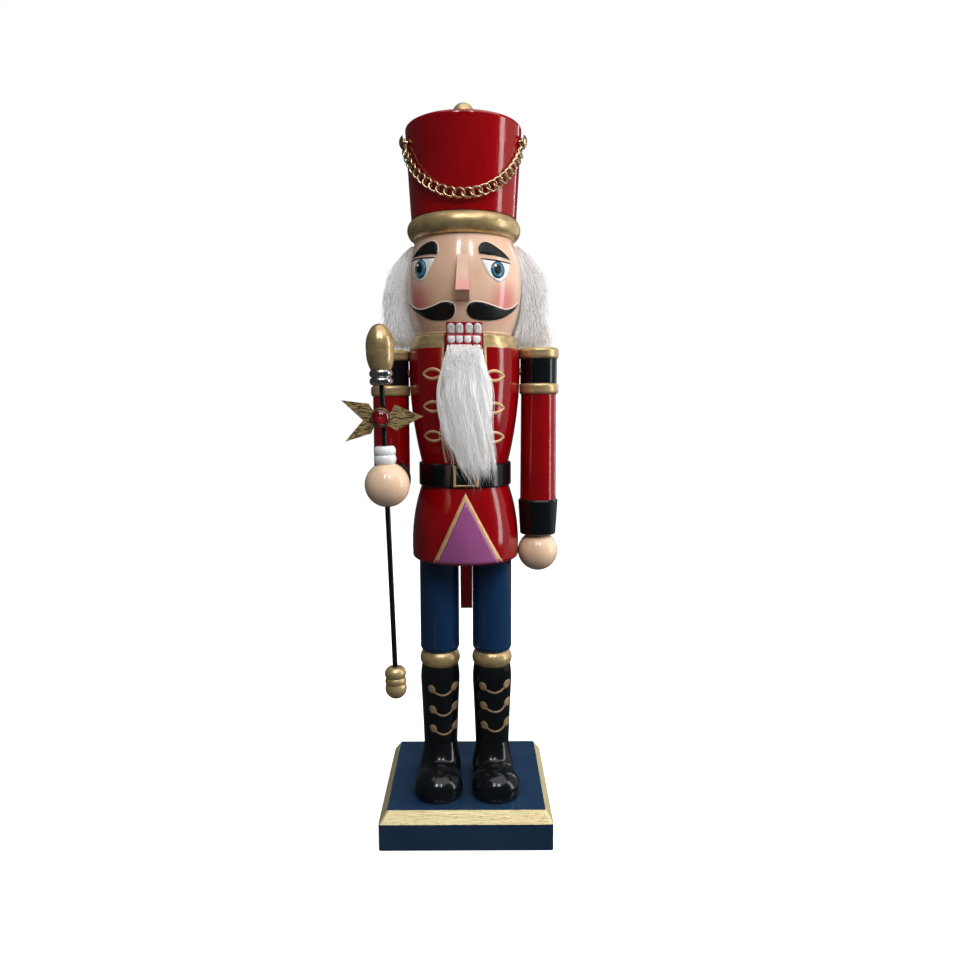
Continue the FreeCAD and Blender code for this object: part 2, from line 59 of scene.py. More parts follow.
Point3 = tuple[float, float, float]
Track = Callable[[float], Vector]


# ---------------------------------------------------------------- shader maths
class Value:
    """A number that varies over a surface; arithmetic on it adds Math nodes."""

    def __init__(self, shader: "Shader", socket: bpy.types.NodeSocket) -> None:
        """Keep the socket and the shader that it belongs to."""
        self.shader = shader
        self.socket = socket

    def _math(self, operation: str, *operands: Any) -> "Value":
        """Add a Math node.

        Args:
            operation: Blender's name for the operation.
            operands: Values or numbers, in socket order.

        Returns:
            The node's result.
        """
        node = self.shader.node("ShaderNodeMath", {"operation": operation}, dict(enumerate(operands)))
        return Value(self.shader, node.outputs[0])

    def __add__(self, other: Any) -> "Value":
        """Sum."""
        return self._math("ADD", self, other)

    __radd__ = __add__

    def __sub__(self, other: Any) -> "Value":
        """Difference."""
        return self._math("SUBTRACT", self, other)

    def __rsub__(self, other: Any) -> "Value":
        """Difference, with the number first."""
        return self._math("SUBTRACT", other, self)

    def __mul__(self, other: Any) -> "Value":
        """Product."""
        return self._math("MULTIPLY", self, other)

    __rmul__ = __mul__

    def __abs__(self) -> "Value":
        """Size without sign."""
        return self._math("ABSOLUTE", self)

    def largest(self, other: Any) -> "Value":
        """The larger of this and another."""
        return self._math("MAXIMUM", self, other)

    def ramp(self, low: float, high: float) -> "Value":
        """Smooth step: 0 at low, 1 at high; low may be the larger.

        Args:
            low: Where the result is 0.
            high: Where the result is 1.

        Returns:
            The step, from 0 to 1.
        """
        node = self.shader.node(
            "ShaderNodeMapRange",
            {"interpolation_type": "SMOOTHSTEP"},
            {"Value": self, "From Min": low, "From Max": high, "To Min": 0.0, "To Max": 1.0},
        )
        return Value(self.shader, node.outputs[0])


class Shader:
    """One material's node tree, round a single Principled shader."""

    def __init__(self, name: str) -> None:
        """Make the material and its shader node."""
        self.material = bpy.data.materials.new("finish_" + name)
        self.material.use_nodes = True
        self.tree = self.material.node_tree
        self.tree.nodes.clear()
        self.surface = self.node("ShaderNodeBsdfPrincipled")
        output = self.node("ShaderNodeOutputMaterial")
        self.tree.links.new(self.surface.outputs[0], output.inputs[0])
        self._place = self.node("ShaderNodeTexCoord").outputs["Object"]

    def node(self, kind: str, settings: dict | None = None, inputs: dict | None = None) -> bpy.types.Node:
        """Create a node.

        Args:
            kind: The node's type.
            settings: Properties, set before the inputs.
            inputs: Numbers, colours, sockets or Values by socket name or number.

        Returns:
            The node.
        """
        made = self.tree.nodes.new(kind)
        for key, setting in (settings or {}).items():
            setattr(made, key, setting)
        for key, given in (inputs or {}).items():
            self.feed(made.inputs[key], given)
        return made

    def feed(self, socket: bpy.types.NodeSocket, given: Any) -> None:
        """Link or set one input socket."""
        if isinstance(given, Value):
            given = given.socket
        if isinstance(given, bpy.types.NodeSocket):
            self.tree.links.new(given, socket)
        elif socket.type == "RGBA" and len(given) == 3:
            socket.default_value = (*given, 1.0)
        else:
            socket.default_value = given

    def axis(self, name: str) -> Value:
        """One coordinate of the surface, X, Y or Z, in millimetres."""
        split = self.node("ShaderNodeSeparateXYZ", None, {0: self._place})
        return Value(self, split.outputs[name]) * 1000.0

    def distance(self, centre: tuple[float, float, float]) -> Value:
        """Distance of the surface from a point, in millimetres."""
        point = tuple(c * MM for c in centre)
        node = self.node("ShaderNodeVectorMath", {"operation": "DISTANCE"}, {0: self._place, 1: point})
        return Value(self, node.outputs["Value"]) * 1000.0

    def noise(self, size: tuple[float, float, float], detail: float = 3.0, shift: float = 0.0) -> Value:
        """Cloudy noise whose blotches have a size along each axis.

        Args:
            size: Blotch size along X, Y and Z in millimetres.
            detail: Octaves.
            shift: Moves the pattern, so that two noises differ.

        Returns:
            The noise, mostly from 0.25 to 0.75.
        """
        scale = tuple(1000.0 / s for s in size)
        moved = (shift, shift, shift)
        place = self.node("ShaderNodeMapping", None, {"Vector": self._place, "Scale": scale, "Location": moved})
        made = self.node("ShaderNodeTexNoise", None, {"Vector": place.outputs[0], "Scale": 1.0, "Detail": detail})
        return Value(self, made.outputs[0])

    def mix(self, share: Any, first: Any, second: Any) -> bpy.types.NodeSocket:
        """Blend two colours.

        Args:
            share: 0 for the first, 1 for the second.
            first: Colour or socket.
            second: Colour or socket.

        Returns:
            The blended colour's socket.
        """
        made = self.node("ShaderNodeMix", {"data_type": "RGBA"}, {0: share, 6: first, 7: second})
        return made.outputs[2]

    def bump(self, height: Value, depth: float) -> None:
        """Raise the surface by a height from 0 to 1 times a depth in millimetres."""
        made = self.node("ShaderNodeBump", None, {"Height": height, "Distance": depth * MM, "Strength": 1.0})
        self.feed(self.surface.inputs["Normal"], made.outputs[0])

    def set(self, **sockets: Any) -> None:
        """Set the Principled shader's sockets; underscores stand for spaces."""
        for key, given in sockets.items():
            self.feed(self.surface.inputs[key.replace("_", " ")], given)


# -------------------------------------------------------------------- finishes
@dataclass(frozen=True)
class GlossPaint:
    """Lacquer brushed over turned wood: even colour, faint grain, slight ripple."""

    name: str
    colour: Colour
    deep: Colour
    roughness: float = 0.13
    coat: float = 0.5
    ripple: float = 0.075

    def material(self) -> bpy.types.Material:
        """Build the paint."""
        s = Shader(self.name)
        cloud = s.noise((14.0, 14.0, 26.0), 2.0)
        grain = s.noise((0.9, 0.9, 18.0), 3.0, 4.0)
        s.set(Base_Color=s.mix((cloud * 0.7 + grain * 0.5).ramp(0.35, 0.85), self.colour, self.deep))
        s.set(Roughness=cloud * 0.06 + grain * 0.08 + (self.roughness - 0.07))
        s.set(Coat_Weight=self.coat, Coat_Roughness=0.06)
        s.bump(s.noise((2.4, 2.4, 4.5), 3.0, 9.0) + grain * 0.22, self.ripple)
        return s.material


@dataclass(frozen=True)
class GoldPaint:
    """Satin bronze-gold paint with thin and thick patches and brush marks."""

    name: str
    bright: Colour = (0.82, 0.62, 0.32)
    dull: Colour = (0.52, 0.37, 0.17)
    roughness: float = 0.33
    metal: float = 0.68
    depth: float = 0.05

    def material(self) -> bpy.types.Material:
        """Build the paint."""
        s = Shader(self.name)
        cloud = s.noise((5.0, 5.0, 3.5), 4.0)
        brush = s.noise((7.0, 7.0, 0.5), 3.0, 3.0)
        speck = s.noise((0.35, 0.35, 0.35), 1.0, 6.0)
        share = (cloud * 0.7 + brush * 0.35 + speck * 0.2).ramp(0.42, 0.82)
        s.set(Base_Color=s.mix(share, self.bright, self.dull), Metallic=self.metal)
        s.set(Roughness=cloud * 0.16 + speck * 0.12 + (self.roughness - 0.12), Coat_Weight=0.15, Coat_Roughness=0.2)
        s.bump(brush * 0.6 + cloud * 0.7 + speck * 0.15, self.depth)
        return s.material


@dataclass(frozen=True)
class SkinPaint:
    """Glossy flesh paint, with soft rouge round given points."""

    name: str
    colour: Colour = (0.70, 0.47, 0.35)
    shade: Colour = (0.64, 0.395, 0.265)
    rouge: Colour = (0.60, 0.14, 0.14)
    spots: tuple[tuple[float, float, float, float, float], ...] = ()

    def material(self) -> bpy.types.Material:
        """Build the paint."""
        s = Shader(self.name)
        cloud = s.noise((11.0, 11.0, 15.0), 3.0)
        base = s.mix(cloud.ramp(0.3, 0.8), self.colour, self.shade)
        for x, y, z, radius, weight in self.spots:
            edge = s.distance((x, y, z)) + (cloud - 0.5) * 3.0
            base = s.mix(edge.ramp(radius, radius * 0.1) * weight, base, self.rouge)
        s.set(Base_Color=base, Roughness=cloud * 0.12 + 0.12, Coat_Weight=0.45, Coat_Roughness=0.08)
        s.set(Subsurface_Weight=0.04, Subsurface_Scale=0.002)
        s.bump(s.noise((3.5, 3.5, 5.0), 2.0, 7.0), 0.045)
        return s.material


@dataclass(frozen=True)
class JacketPaint:
    """Red lacquer below a collar line, gold paint above it."""

    name: str
    red: Colour
    deep: Colour
    collar_z: float = 255.3

    def material(self) -> bpy.types.Material:
        """Build the two paints and the brushed line between them."""
        s = Shader(self.name)
        cloud = s.noise((14.0, 14.0, 26.0), 2.0)
        grain = s.noise((0.9, 0.9, 18.0), 3.0, 4.0)
        fleck = s.noise((4.0, 4.0, 2.5), 4.0, 2.0)
        wobble = (s.noise((6.0, 6.0, 6.0), 2.0, 8.0) - 0.5) * 0.9
        collar = (s.axis("Z") + wobble).ramp(self.collar_z - 0.12, self.collar_z + 0.12)
        paint = s.mix((cloud * 0.7 + grain * 0.5).ramp(0.35, 0.85), self.red, self.deep)
        gold = s.mix(fleck.ramp(0.35, 0.7), (0.74, 0.55, 0.27), (0.47, 0.33, 0.15))
        s.set(Base_Color=s.mix(collar, paint, gold), Metallic=collar * 0.68)
        s.set(Roughness=cloud * 0.06 + grain * 0.08 + collar * 0.18 + 0.05, Coat_Weight=0.5, Coat_Roughness=0.07)
        s.bump(s.noise((2.4, 2.4, 4.5), 3.0, 9.0) + grain * 0.22 + collar * fleck, 0.05)
        return s.material


@dataclass(frozen=True)
class PlinthPaint:
    """Navy lacquer with a bevel rubbed in leaf gold."""

    name: str
    navy: Colour = (0.010, 0.031, 0.074)
    edge_z: float = 13.9
    face: float = 41.0

    def material(self) -> bpy.types.Material:
        """Build the paint, streaked along each side of the bevel."""
        s = Shader(self.name)
        x, y, z = abs(s.axis("X")), abs(s.axis("Y")), s.axis("Z")
        along_x = (y - x).ramp(-0.15, 0.15)
        wobble = s.noise((4.0, 4.0, 2.0), 3.0, 2.0) - 0.5
        gold = (z + wobble * 0.7).ramp(self.edge_z - 0.1, self.edge_z + 0.1)
        gold = gold * (x.largest(y) + wobble * 0.5).ramp(self.face - 0.15, self.face - 0.02)
        streak_x = s.noise((9.0, 0.45, 0.45), 4.0, 1.0)
        streak_y = s.noise((0.45, 9.0, 0.45), 4.0, 5.0)
        streak = streak_x * along_x + streak_y * (1.0 - along_x)
        speck = s.noise((1.6, 0.8, 0.8), 3.0, 9.0)
        worn = (streak * 0.75 + speck * 0.4).ramp(0.56, 0.82)
        leaf = s.mix(worn, (0.97, 0.83, 0.47), (0.52, 0.37, 0.16))
        cloud = s.noise((20.0, 20.0, 20.0), 3.0, 3.0)
        navy = s.mix(cloud.ramp(0.3, 0.75), self.navy, (0.015, 0.038, 0.079))
        s.set(Base_Color=s.mix(gold, navy, leaf), Metallic=gold * 0.6)
        s.set(Roughness=gold * 0.2 + cloud * 0.14 + 0.17, Coat_Weight=0.2, Coat_Roughness=0.2)
        s.bump(streak * (gold * 1.3) + s.noise((1.2, 1.2, 1.2), 2.0, 6.0) * 0.25, 0.12)
        return s.material


@dataclass(frozen=True)
class BareWood:
    """Unpainted beech, with rings and pores along the peg."""

    name: str

    def material(self) -> bpy.types.Material:
        """Build the wood."""
        s = Shader(self.name)
        ring = s.noise((1.3, 1.3, 22.0), 4.0)
        pore = s.noise((0.18, 0.18, 2.6), 2.0, 5.0)
        s.set(Base_Color=s.mix((ring * 0.8 + pore * 0.4).ramp(0.4, 0.8), (0.62, 0.42, 0.23), (0.36, 0.21, 0.10)))
        s.set(Roughness=pore * 0.3 + 0.45)
        s.bump(ring + pore, 0.08)
        return s.material


@dataclass(frozen=True)
class Metal:
    """Drawn or stamped metal with fine scuffs."""

    name: str
    colour: Colour
    tarnish: Colour
    roughness: float = 0.2

    def material(self) -> bpy.types.Material:
        """Build the metal."""
        s = Shader(self.name)
        cloud = s.noise((2.5, 2.5, 2.5), 4.0)
        scuff = s.noise((0.5, 0.5, 0.12), 2.0, 4.0)
        s.set(Base_Color=s.mix(cloud.ramp(0.4, 0.75), self.colour, self.tarnish), Metallic=1.0)
        s.set(Roughness=cloud * 0.2 + scuff * 0.1 + (self.roughness - 0.12))
        s.bump(scuff + cloud, 0.02)
        return s.material


@dataclass(frozen=True)
class GiltGrain:
    """Stamped gilt whose ridges run along the plate, dark in the furrows."""

    name: str

    def material(self) -> bpy.types.Material:
        """Build the gilt."""
        s = Shader(self.name)
        ridge = s.noise((4.6, 4.6, 0.85), 2.0, 2.0)
        fine = s.noise((1.9, 1.9, 0.36), 2.0, 7.0)
        furrow = (ridge * 0.7 + fine * 0.45).ramp(0.48, 0.62)
        s.set(Base_Color=s.mix(furrow, (0.10, 0.055, 0.02), (0.60, 0.45, 0.21)), Metallic=furrow * 0.3 + 0.45)
        s.set(Roughness=0.5 - furrow * 0.14)
        s.bump(furrow + fine * 0.4, 0.5)
        return s.material


@dataclass(frozen=True)
class Gem:
    """Domed red glass over foil: painted shade darkens the rim, painted light glows in the lower half."""

    name: str
    middle: tuple[float, float, float] = (-39.1, -52.4, 219.6)

    def material(self) -> bpy.types.Material:
        """Build the glass."""
        s = Shader(self.name)
        # Painted light and shade: the colour brightens towards a point in the glass and darkens towards the rim.
        painted_glow = s.distance(self.middle).ramp(3.4, 0.6)
        swirl = s.noise((1.6, 1.6, 1.6), 2.0)
        s.set(Base_Color=s.mix(painted_glow * (swirl + 0.45), (0.10, 0.001, 0.004), (0.50, 0.012, 0.022)))
        s.set(Roughness=swirl * 0.05 + 0.02, Coat_Weight=1.0, Coat_Roughness=0.02, IOR=1.6)
        return s.material


@dataclass(frozen=True)
class Fur:
    """White synthetic fur, whiter and greyer from lock to lock, with a faint glow of painted light."""

    name: str
    tip: Colour = (0.90, 0.89, 0.90)
    root: Colour = (0.60, 0.59, 0.58)

    def material(self) -> bpy.types.Material:
        """Build the hair's shade; it varies from lock to lock."""
        s = Shader(self.name)
        lock = s.noise((1.1, 1.1, 14.0), 3.0)
        wide = s.noise((5.0, 5.0, 22.0), 2.0, 5.0)
        s.set(Base_Color=s.mix((lock * 0.6 + wide * 0.6).ramp(0.42, 0.82), self.tip, self.root))
        s.set(Roughness=lock * 0.2 + 0.42, Sheen_Weight=0.7, Sheen_Roughness=0.5)
        # Painted light: the fur glows faintly, as if lit from within.
        s.set(Emission_Color=(0.93, 0.93, 0.94), Emission_Strength=0.08)
        return s.material


LACQUER = (0.285, 0.0008, 0.0035)
LACQUER_DEEP = (0.205, 0.0005, 0.002)


class Tin(Enum):
    """Every finish in the shop, each made once."""

    RED = GlossPaint("red_lacquer", LACQUER, LACQUER_DEEP)
    JACKET = JacketPaint("jacket_lacquer", LACQUER, LACQUER_DEEP)
    NAVY = GlossPaint("navy_lacquer", (0.006, 0.031, 0.090), (0.004, 0.022, 0.068), 0.2, 0.25)
    BLACK = GlossPaint("black_lacquer", (0.0022, 0.0030, 0.0038), (0.005, 0.007, 0.009), 0.16, 0.2)
    WHITE = GlossPaint("white_lacquer", (0.78, 0.81, 0.82), (0.70, 0.73, 0.74), 0.15, 0.4)
    SILVER = Metal("bright_silver", (0.74, 0.74, 0.76), (0.50, 0.50, 0.53), 0.17)
    GOLD = GoldPaint("bronze_gold")
    BRONZE = GoldPaint("dark_bronze", (0.24, 0.14, 0.06), (0.12, 0.07, 0.03))
    EGG = GoldPaint("egg_gold", (0.80, 0.60, 0.31), (0.54, 0.38, 0.18), 0.26, 0.75, 0.02)
    CHAIN = Metal("chain_gold", (0.92, 0.74, 0.46), (0.72, 0.50, 0.24), 0.24)
    STEEL = Metal("screw_steel", (0.5, 0.5, 0.5), (0.32, 0.31, 0.3), 0.35)
    FACE = SkinPaint(
        "face_paint",
        spots=((-23.2, -18.5, 277.9, 13.5, 0.8), (20.9, -20.5, 277.8, 14.0, 0.8)),
    )
    NOSE = SkinPaint("nose_paint", rouge=(0.72, 0.22, 0.21), spots=((-0.5, -39.0, 284.5, 9.5, 0.85),))
    HANDS = SkinPaint("hand_paint", (0.80, 0.575, 0.405), (0.73, 0.50, 0.345))
    PLINTH = PlinthPaint("plinth_paint")
    WOOD = BareWood("bare_beech")
    PLATE = GiltGrain("grained_gilt")
    GEM = Gem("red_glass")
    FUR = Fur("long_fur", (0.975, 0.97, 0.97), (0.84, 0.83, 0.82))
    # Greyer than the long fur: painted shade for the inside of the fur, seen in the gaps.
    UNDERFUR = Fur("under_fur", (0.92, 0.91, 0.90), (0.76, 0.75, 0.74))
    TRIM = GoldPaint("trim_gold", (0.80, 0.52, 0.28), (0.62, 0.38, 0.18), 0.42, 0.3, 0.03)
    LACE = GoldPaint("lace_gold", (0.40, 0.275, 0.155), (0.29, 0.19, 0.10), 0.42, 0.3, 0.03)
    APRON = GlossPaint("apron_mauve", (0.33, 0.088, 0.25), (0.27, 0.070, 0.205), 0.3, 0.15, 0.04)
    INK = GlossPaint("brow_black", (0.003, 0.003, 0.004), (0.006, 0.006, 0.007), 0.45, 0.0, 0.02)
    PALE = GlossPaint("pale_line", (0.80, 0.68, 0.55), (0.72, 0.59, 0.46), 0.25, 0.3, 0.02)
    EYEWHITE = GlossPaint("eye_white", (0.82, 0.83, 0.81), (0.74, 0.75, 0.74), 0.2, 0.4, 0.02)
    IRIS = GlossPaint("eye_blue", (0.06, 0.225, 0.33), (0.035, 0.15, 0.24), 0.15, 0.4, 0.02)
    IRIS_RIM = GlossPaint("eye_rim_blue", (0.010, 0.045, 0.085), (0.007, 0.03, 0.06), 0.15, 0.4, 0.02)
    LIP = GlossPaint("lip_red", (0.36, 0.004, 0.018), (0.28, 0.002, 0.012), 0.25, 0.3, 0.02)
    TOOTH = GlossPaint("tooth_white", (0.80, 0.80, 0.79), (0.70, 0.70, 0.70), 0.22, 0.4, 0.02)

    @property
    def material(self) -> bpy.types.Material:
        """The finish's material, made on first use."""
        known = bpy.data.materials.get("finish_" + self.value.name)
        return known or self.value.material()


# --------------------------------------------------------------- mesh building
def piece(
    name: str, verts: Sequence[Vector], faces: Sequence[Sequence[int]], tin: Tin, body: str,
    smooth: int = -1
) -> bpy.types.Object:
    """Make a mesh piece that rides on a body, or on none yet if that is empty.

    Args:
        name: Piece name.
        verts: Points in metres.
        faces: Vertex numbers of each face.
        tin: Finish.
        body: Body that it rides on.
        smooth: How many faces, from the first, are smooth; all if negative.

    Returns:
        The piece.
    """
    mesh = bpy.data.meshes.new(name)
    mesh.from_pydata([tuple(v) for v in verts], [], [list(f) for f in faces])
    count = len(faces) if smooth < 0 else smooth
    mesh.polygons.foreach_set("use_smooth", [i < count for i in range(len(faces))])
    mesh.validate()
    made = bpy.data.objects.new(name, mesh)
    bpy.context.scene.collection.objects.link(made)
    mesh.materials.append(tin.material)
    if body:
        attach(made, body)
    LOG.info("%s: %d faces on %s", name, len(faces), body)
    return made


def spline(points: Sequence[Point2], step: float, closed: bool) -> list[Point2]:
    """Smooth line through points.

    Args:
        points: Points to pass through.
        step: Spacing of the result.
        closed: Whether the line comes back to its start.

    Returns:
        Points of the smooth line.
    """
    last = len(points)
    result: list[Point2] = []
    for i in range(last if closed else last - 1):
        picks = [i - 1, i, i + 1, i + 2]
        four = [Vector(points[k % last] if closed else points[min(max(k, 0), last - 1)]) for k in picks]
        count = max(2, math.ceil((four[2] - four[1]).length / step))
        for n in range(count):
            t = n / count
            a = (four[1] * 2) + (four[2] - four[0]) * t
            b = (four[0] * 2 - four[1] * 5 + four[2] * 4 - four[3]) * t * t
            c = (four[1] * 3 - four[0] - four[2] * 3 + four[3]) * t * t * t
            result.append(tuple((a + b + c) * 0.5))
    if not closed:
        result.append(tuple(points[-1]))
    return result


def rounded(points: Sequence[Point2], corners: Sequence[int] = (), step: float = 0.45) -> list[Point2]:
    """Smooth closed outline that keeps some corners sharp.

    Args:
        points: Outline.
        corners: Which of the points are sharp.
        step: Spacing of the result in millimetres.

    Returns:
        Points of the outline.
    """
    if not corners:
        return spline(points, step, True)
    marks = sorted(corners)
    result: list[Point2] = []
    for k, start in enumerate(marks):
        end = marks[(k + 1) % len(marks)]
        span = (end - start) % len(points) or len(points)
        run = [points[(start + n) % len(points)] for n in range(span + 1)]
        result += spline(run, step, False)[:-1]
    return result


def grown(outline: Sequence[Point2], amount: float) -> list[Point2]:
    """Outline moved outwards by an amount in millimetres."""
    area = sum(a[0] * b[1] - b[0] * a[1] for a, b in zip(outline, [*outline[1:], outline[0]]))
    sign = 1.0 if area > 0 else -1.0
    result: list[Point2] = []
    for i, here in enumerate(outline):
        before, after = Vector(outline[i - 1]), Vector(outline[(i + 1) % len(outline)])
        along = (after - before).normalized()
        result.append((here[0] + sign * along.y * amount, here[1] - sign * along.x * amount))
    return result


def oval(x: float, z: float, half_x: float, half_z: float, tilt: float = 0.0, count: int = 28) -> list[Point2]:
    """Ellipse outline.

    Args:
        x: Middle.
        z: Middle height.
        half_x: Half width.
        half_z: Half height.
        tilt: Lean in degrees, counted from the X axis.
        count: Points.

    Returns:
        Points of the outline.
    """
    turn = Matrix.Rotation(math.radians(tilt), 2)
    steps = [2 * math.pi * i / count for i in range(count)]
    spots = [turn @ Vector((half_x * math.cos(a), half_z * math.sin(a))) for a in steps]
    return [(x + p.x, z + p.y) for p in spots]


def ribbon(path: Sequence[Point2], width: float, ends: float = 1.0) -> list[Point2]:
    """Outline of a brushed line.

    Args:
        path: Points of its middle.
        width: Width in millimetres.
        ends: Share of the width left at the ends.

    Returns:
        Points of the outline.
    """
    line = [Vector(p) for p in spline(path, 0.5, False)]
    left, right = [], []
    for i, here in enumerate(line):
        along = (line[min(i + 1, len(line) - 1)] - line[max(i - 1, 0)]).normalized()
        share = i / (len(line) - 1)
        half = 0.5 * width * (ends + (1 - ends) * math.sin(math.pi * share) ** 0.6)
        side = Vector((-along.y, along.x)) * half
        left.append(tuple(here + side))
        right.append(tuple(here - side))
    return left + right[::-1]


@dataclass
class Canvas:
    """The front of a turned piece, on which trim is painted in thin raised coats."""

    node: str
    body: str = "figure"
    grid: float = 1.3
    hem_z: float = 0.0
    depth: float = 0.25
    tree: BVHTree = field(init=False)

    def __post_init__(self) -> None:
        """Index the piece's surface."""
        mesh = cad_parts[self.node].data
        self.tree = BVHTree.FromPolygons([v.co for v in mesh.vertices], [tuple(p.vertices) for p in mesh.polygons])

    def touch(self, x: float, z: float) -> tuple[Vector, Vector] | None:
        """Point and normal of the front at a place in millimetres, if it is there."""
        height = max(z, self.hem_z)
        spot, normal, _, _ = self.tree.ray_cast(Vector((x * MM, -0.2, height * MM)), Vector((0.0, 1.0, 0.0)))
        return (spot + Vector((0.0, 0.0, (z - height) * MM)), normal) if spot else None

    def paint(
        self, name: str, outlines: Sequence[Sequence[Point2]], tin: Tin, lift: float, slot: str
    ) -> bpy.types.Object:
        """Lay closed coats of paint on the surface as one piece.

        Args:
            name: Piece name.
            outlines: Closed outlines in x and z, in millimetres.
            tin: Paint.
            lift: Height of the coat in millimetres.
            slot: Material slot of the record; not used.

        Returns:
            The coat.
        """
        verts: list[Vector] = []
        tops: list[tuple[int, ...]] = []
        rims: list[tuple[int, ...]] = []
        for outline in outlines:
            self._coat(outline, lift, verts, tops, rims)
        return piece(name, verts, tops + rims, tin, self.body, len(tops))

    def _coat(
        self, outline: Sequence[Point2], lift: float, verts: list[Vector],
        tops: list[tuple[int, ...]], rims: list[tuple[int, ...]]
    ) -> None:
        """Add one closed coat: its top, and its underside and edge below the surface."""
        rim = [Vector(p) for p in outline]
        xs, zs = [p.x for p in rim], [p.y for p in rim]
        inner: list[Vector] = []
        g = self.grid
        rows, columns = int((max(zs) - min(zs)) / g), int((max(xs) - min(xs)) / g)
        for r in range(1, rows + 1):
            for c in range(1, columns + 1):
                spot = Vector((min(xs) + c * g + 0.31 * (r % 2), min(zs) + r * g))
                if min((spot - q).length for q in rim) > 0.45 * g:
                    inner.append(spot)
        ring = list(range(len(rim)))
        flat, _, faces, *_ = delaunay_2d_cdt(rim + inner, [], [ring], 1, 1e-5)
        places = [self.touch(p.x, p.y) for p in flat]
        kept = [f for f in faces if all(places[i] for i in f)]
        used = sorted({i for f in kept for i in f})
        base = len(verts)
        number = {old: base + 2 * k for k, old in enumerate(used)}
        for i in used:
            spot, normal = places[i]
            verts += [spot + normal * lift * MM, spot - normal * self.depth * MM]
        edges: dict[tuple[int, int], int] = {}
        for f in kept:
            if self._clockwise(flat, f):
                f = f[::-1]
            tops.append(tuple(number[i] for i in f))
            rims.append(tuple(number[i] + 1 for i in f[::-1]))
            for a, b in zip(f, (*f[1:], f[0])):
                edges[(a, b)] = edges.get((a, b), 0) + 1
        for a, b in edges:
            if (b, a) not in edges:
                rims.append((number[b], number[a], number[a] + 1, number[b] + 1))

    @staticmethod
    def _clockwise(flat: Sequence[Vector], face: Sequence[int]) -> bool:
        """Whether a face runs clockwise as seen from the front."""
        p = [flat[i] for i in face]
        return (p[1] - p[0]).cross(p[2] - p[0]) < 0


def tube(
    points: Sequence[Vector], radius: float, sides: int, verts: list[Vector], faces: list[tuple[int, ...]]
) -> None:
    """Add a closed ring of wire.

    Args:
        points: The ring's middle line in metres.
        radius: Wire radius in metres.
        sides: Sides of the wire.
        verts: Points, added to.
        faces: Faces, added to.
    """
    base, count = len(verts), len(points)
    normal = Vector((0.0, 0.0, 1.0))
    for i, here in enumerate(points):
        along = (points[(i + 1) % count] - points[i - 1]).normalized()
        normal = (normal - along * normal.dot(along)).normalized() if i else along.orthogonal().normalized()
        across = along.cross(normal)
        for k in range(sides):
            turn = 2 * math.pi * k / sides
            verts.append(here + (normal * math.cos(turn) + across * math.sin(turn)) * radius)
    first = [verts[base + k] for k in range(sides)]
    last = [verts[base + (count - 1) * sides + k] for k in range(sides)]
    shift = min(range(sides), key=lambda m: sum((first[(k + m) % sides] - last[k]).length for k in range(sides)))
    for i in range(count):
        for k in range(sides):
            a, b = base + i * sides + k, base + i * sides + (k + 1) % sides
            if i + 1 < count:
                faces.append((a, b, b + sides, a + sides))
            else:
                faces.append((a, b, base + (k + 1 + shift) % sides, base + (k + shift) % sides))


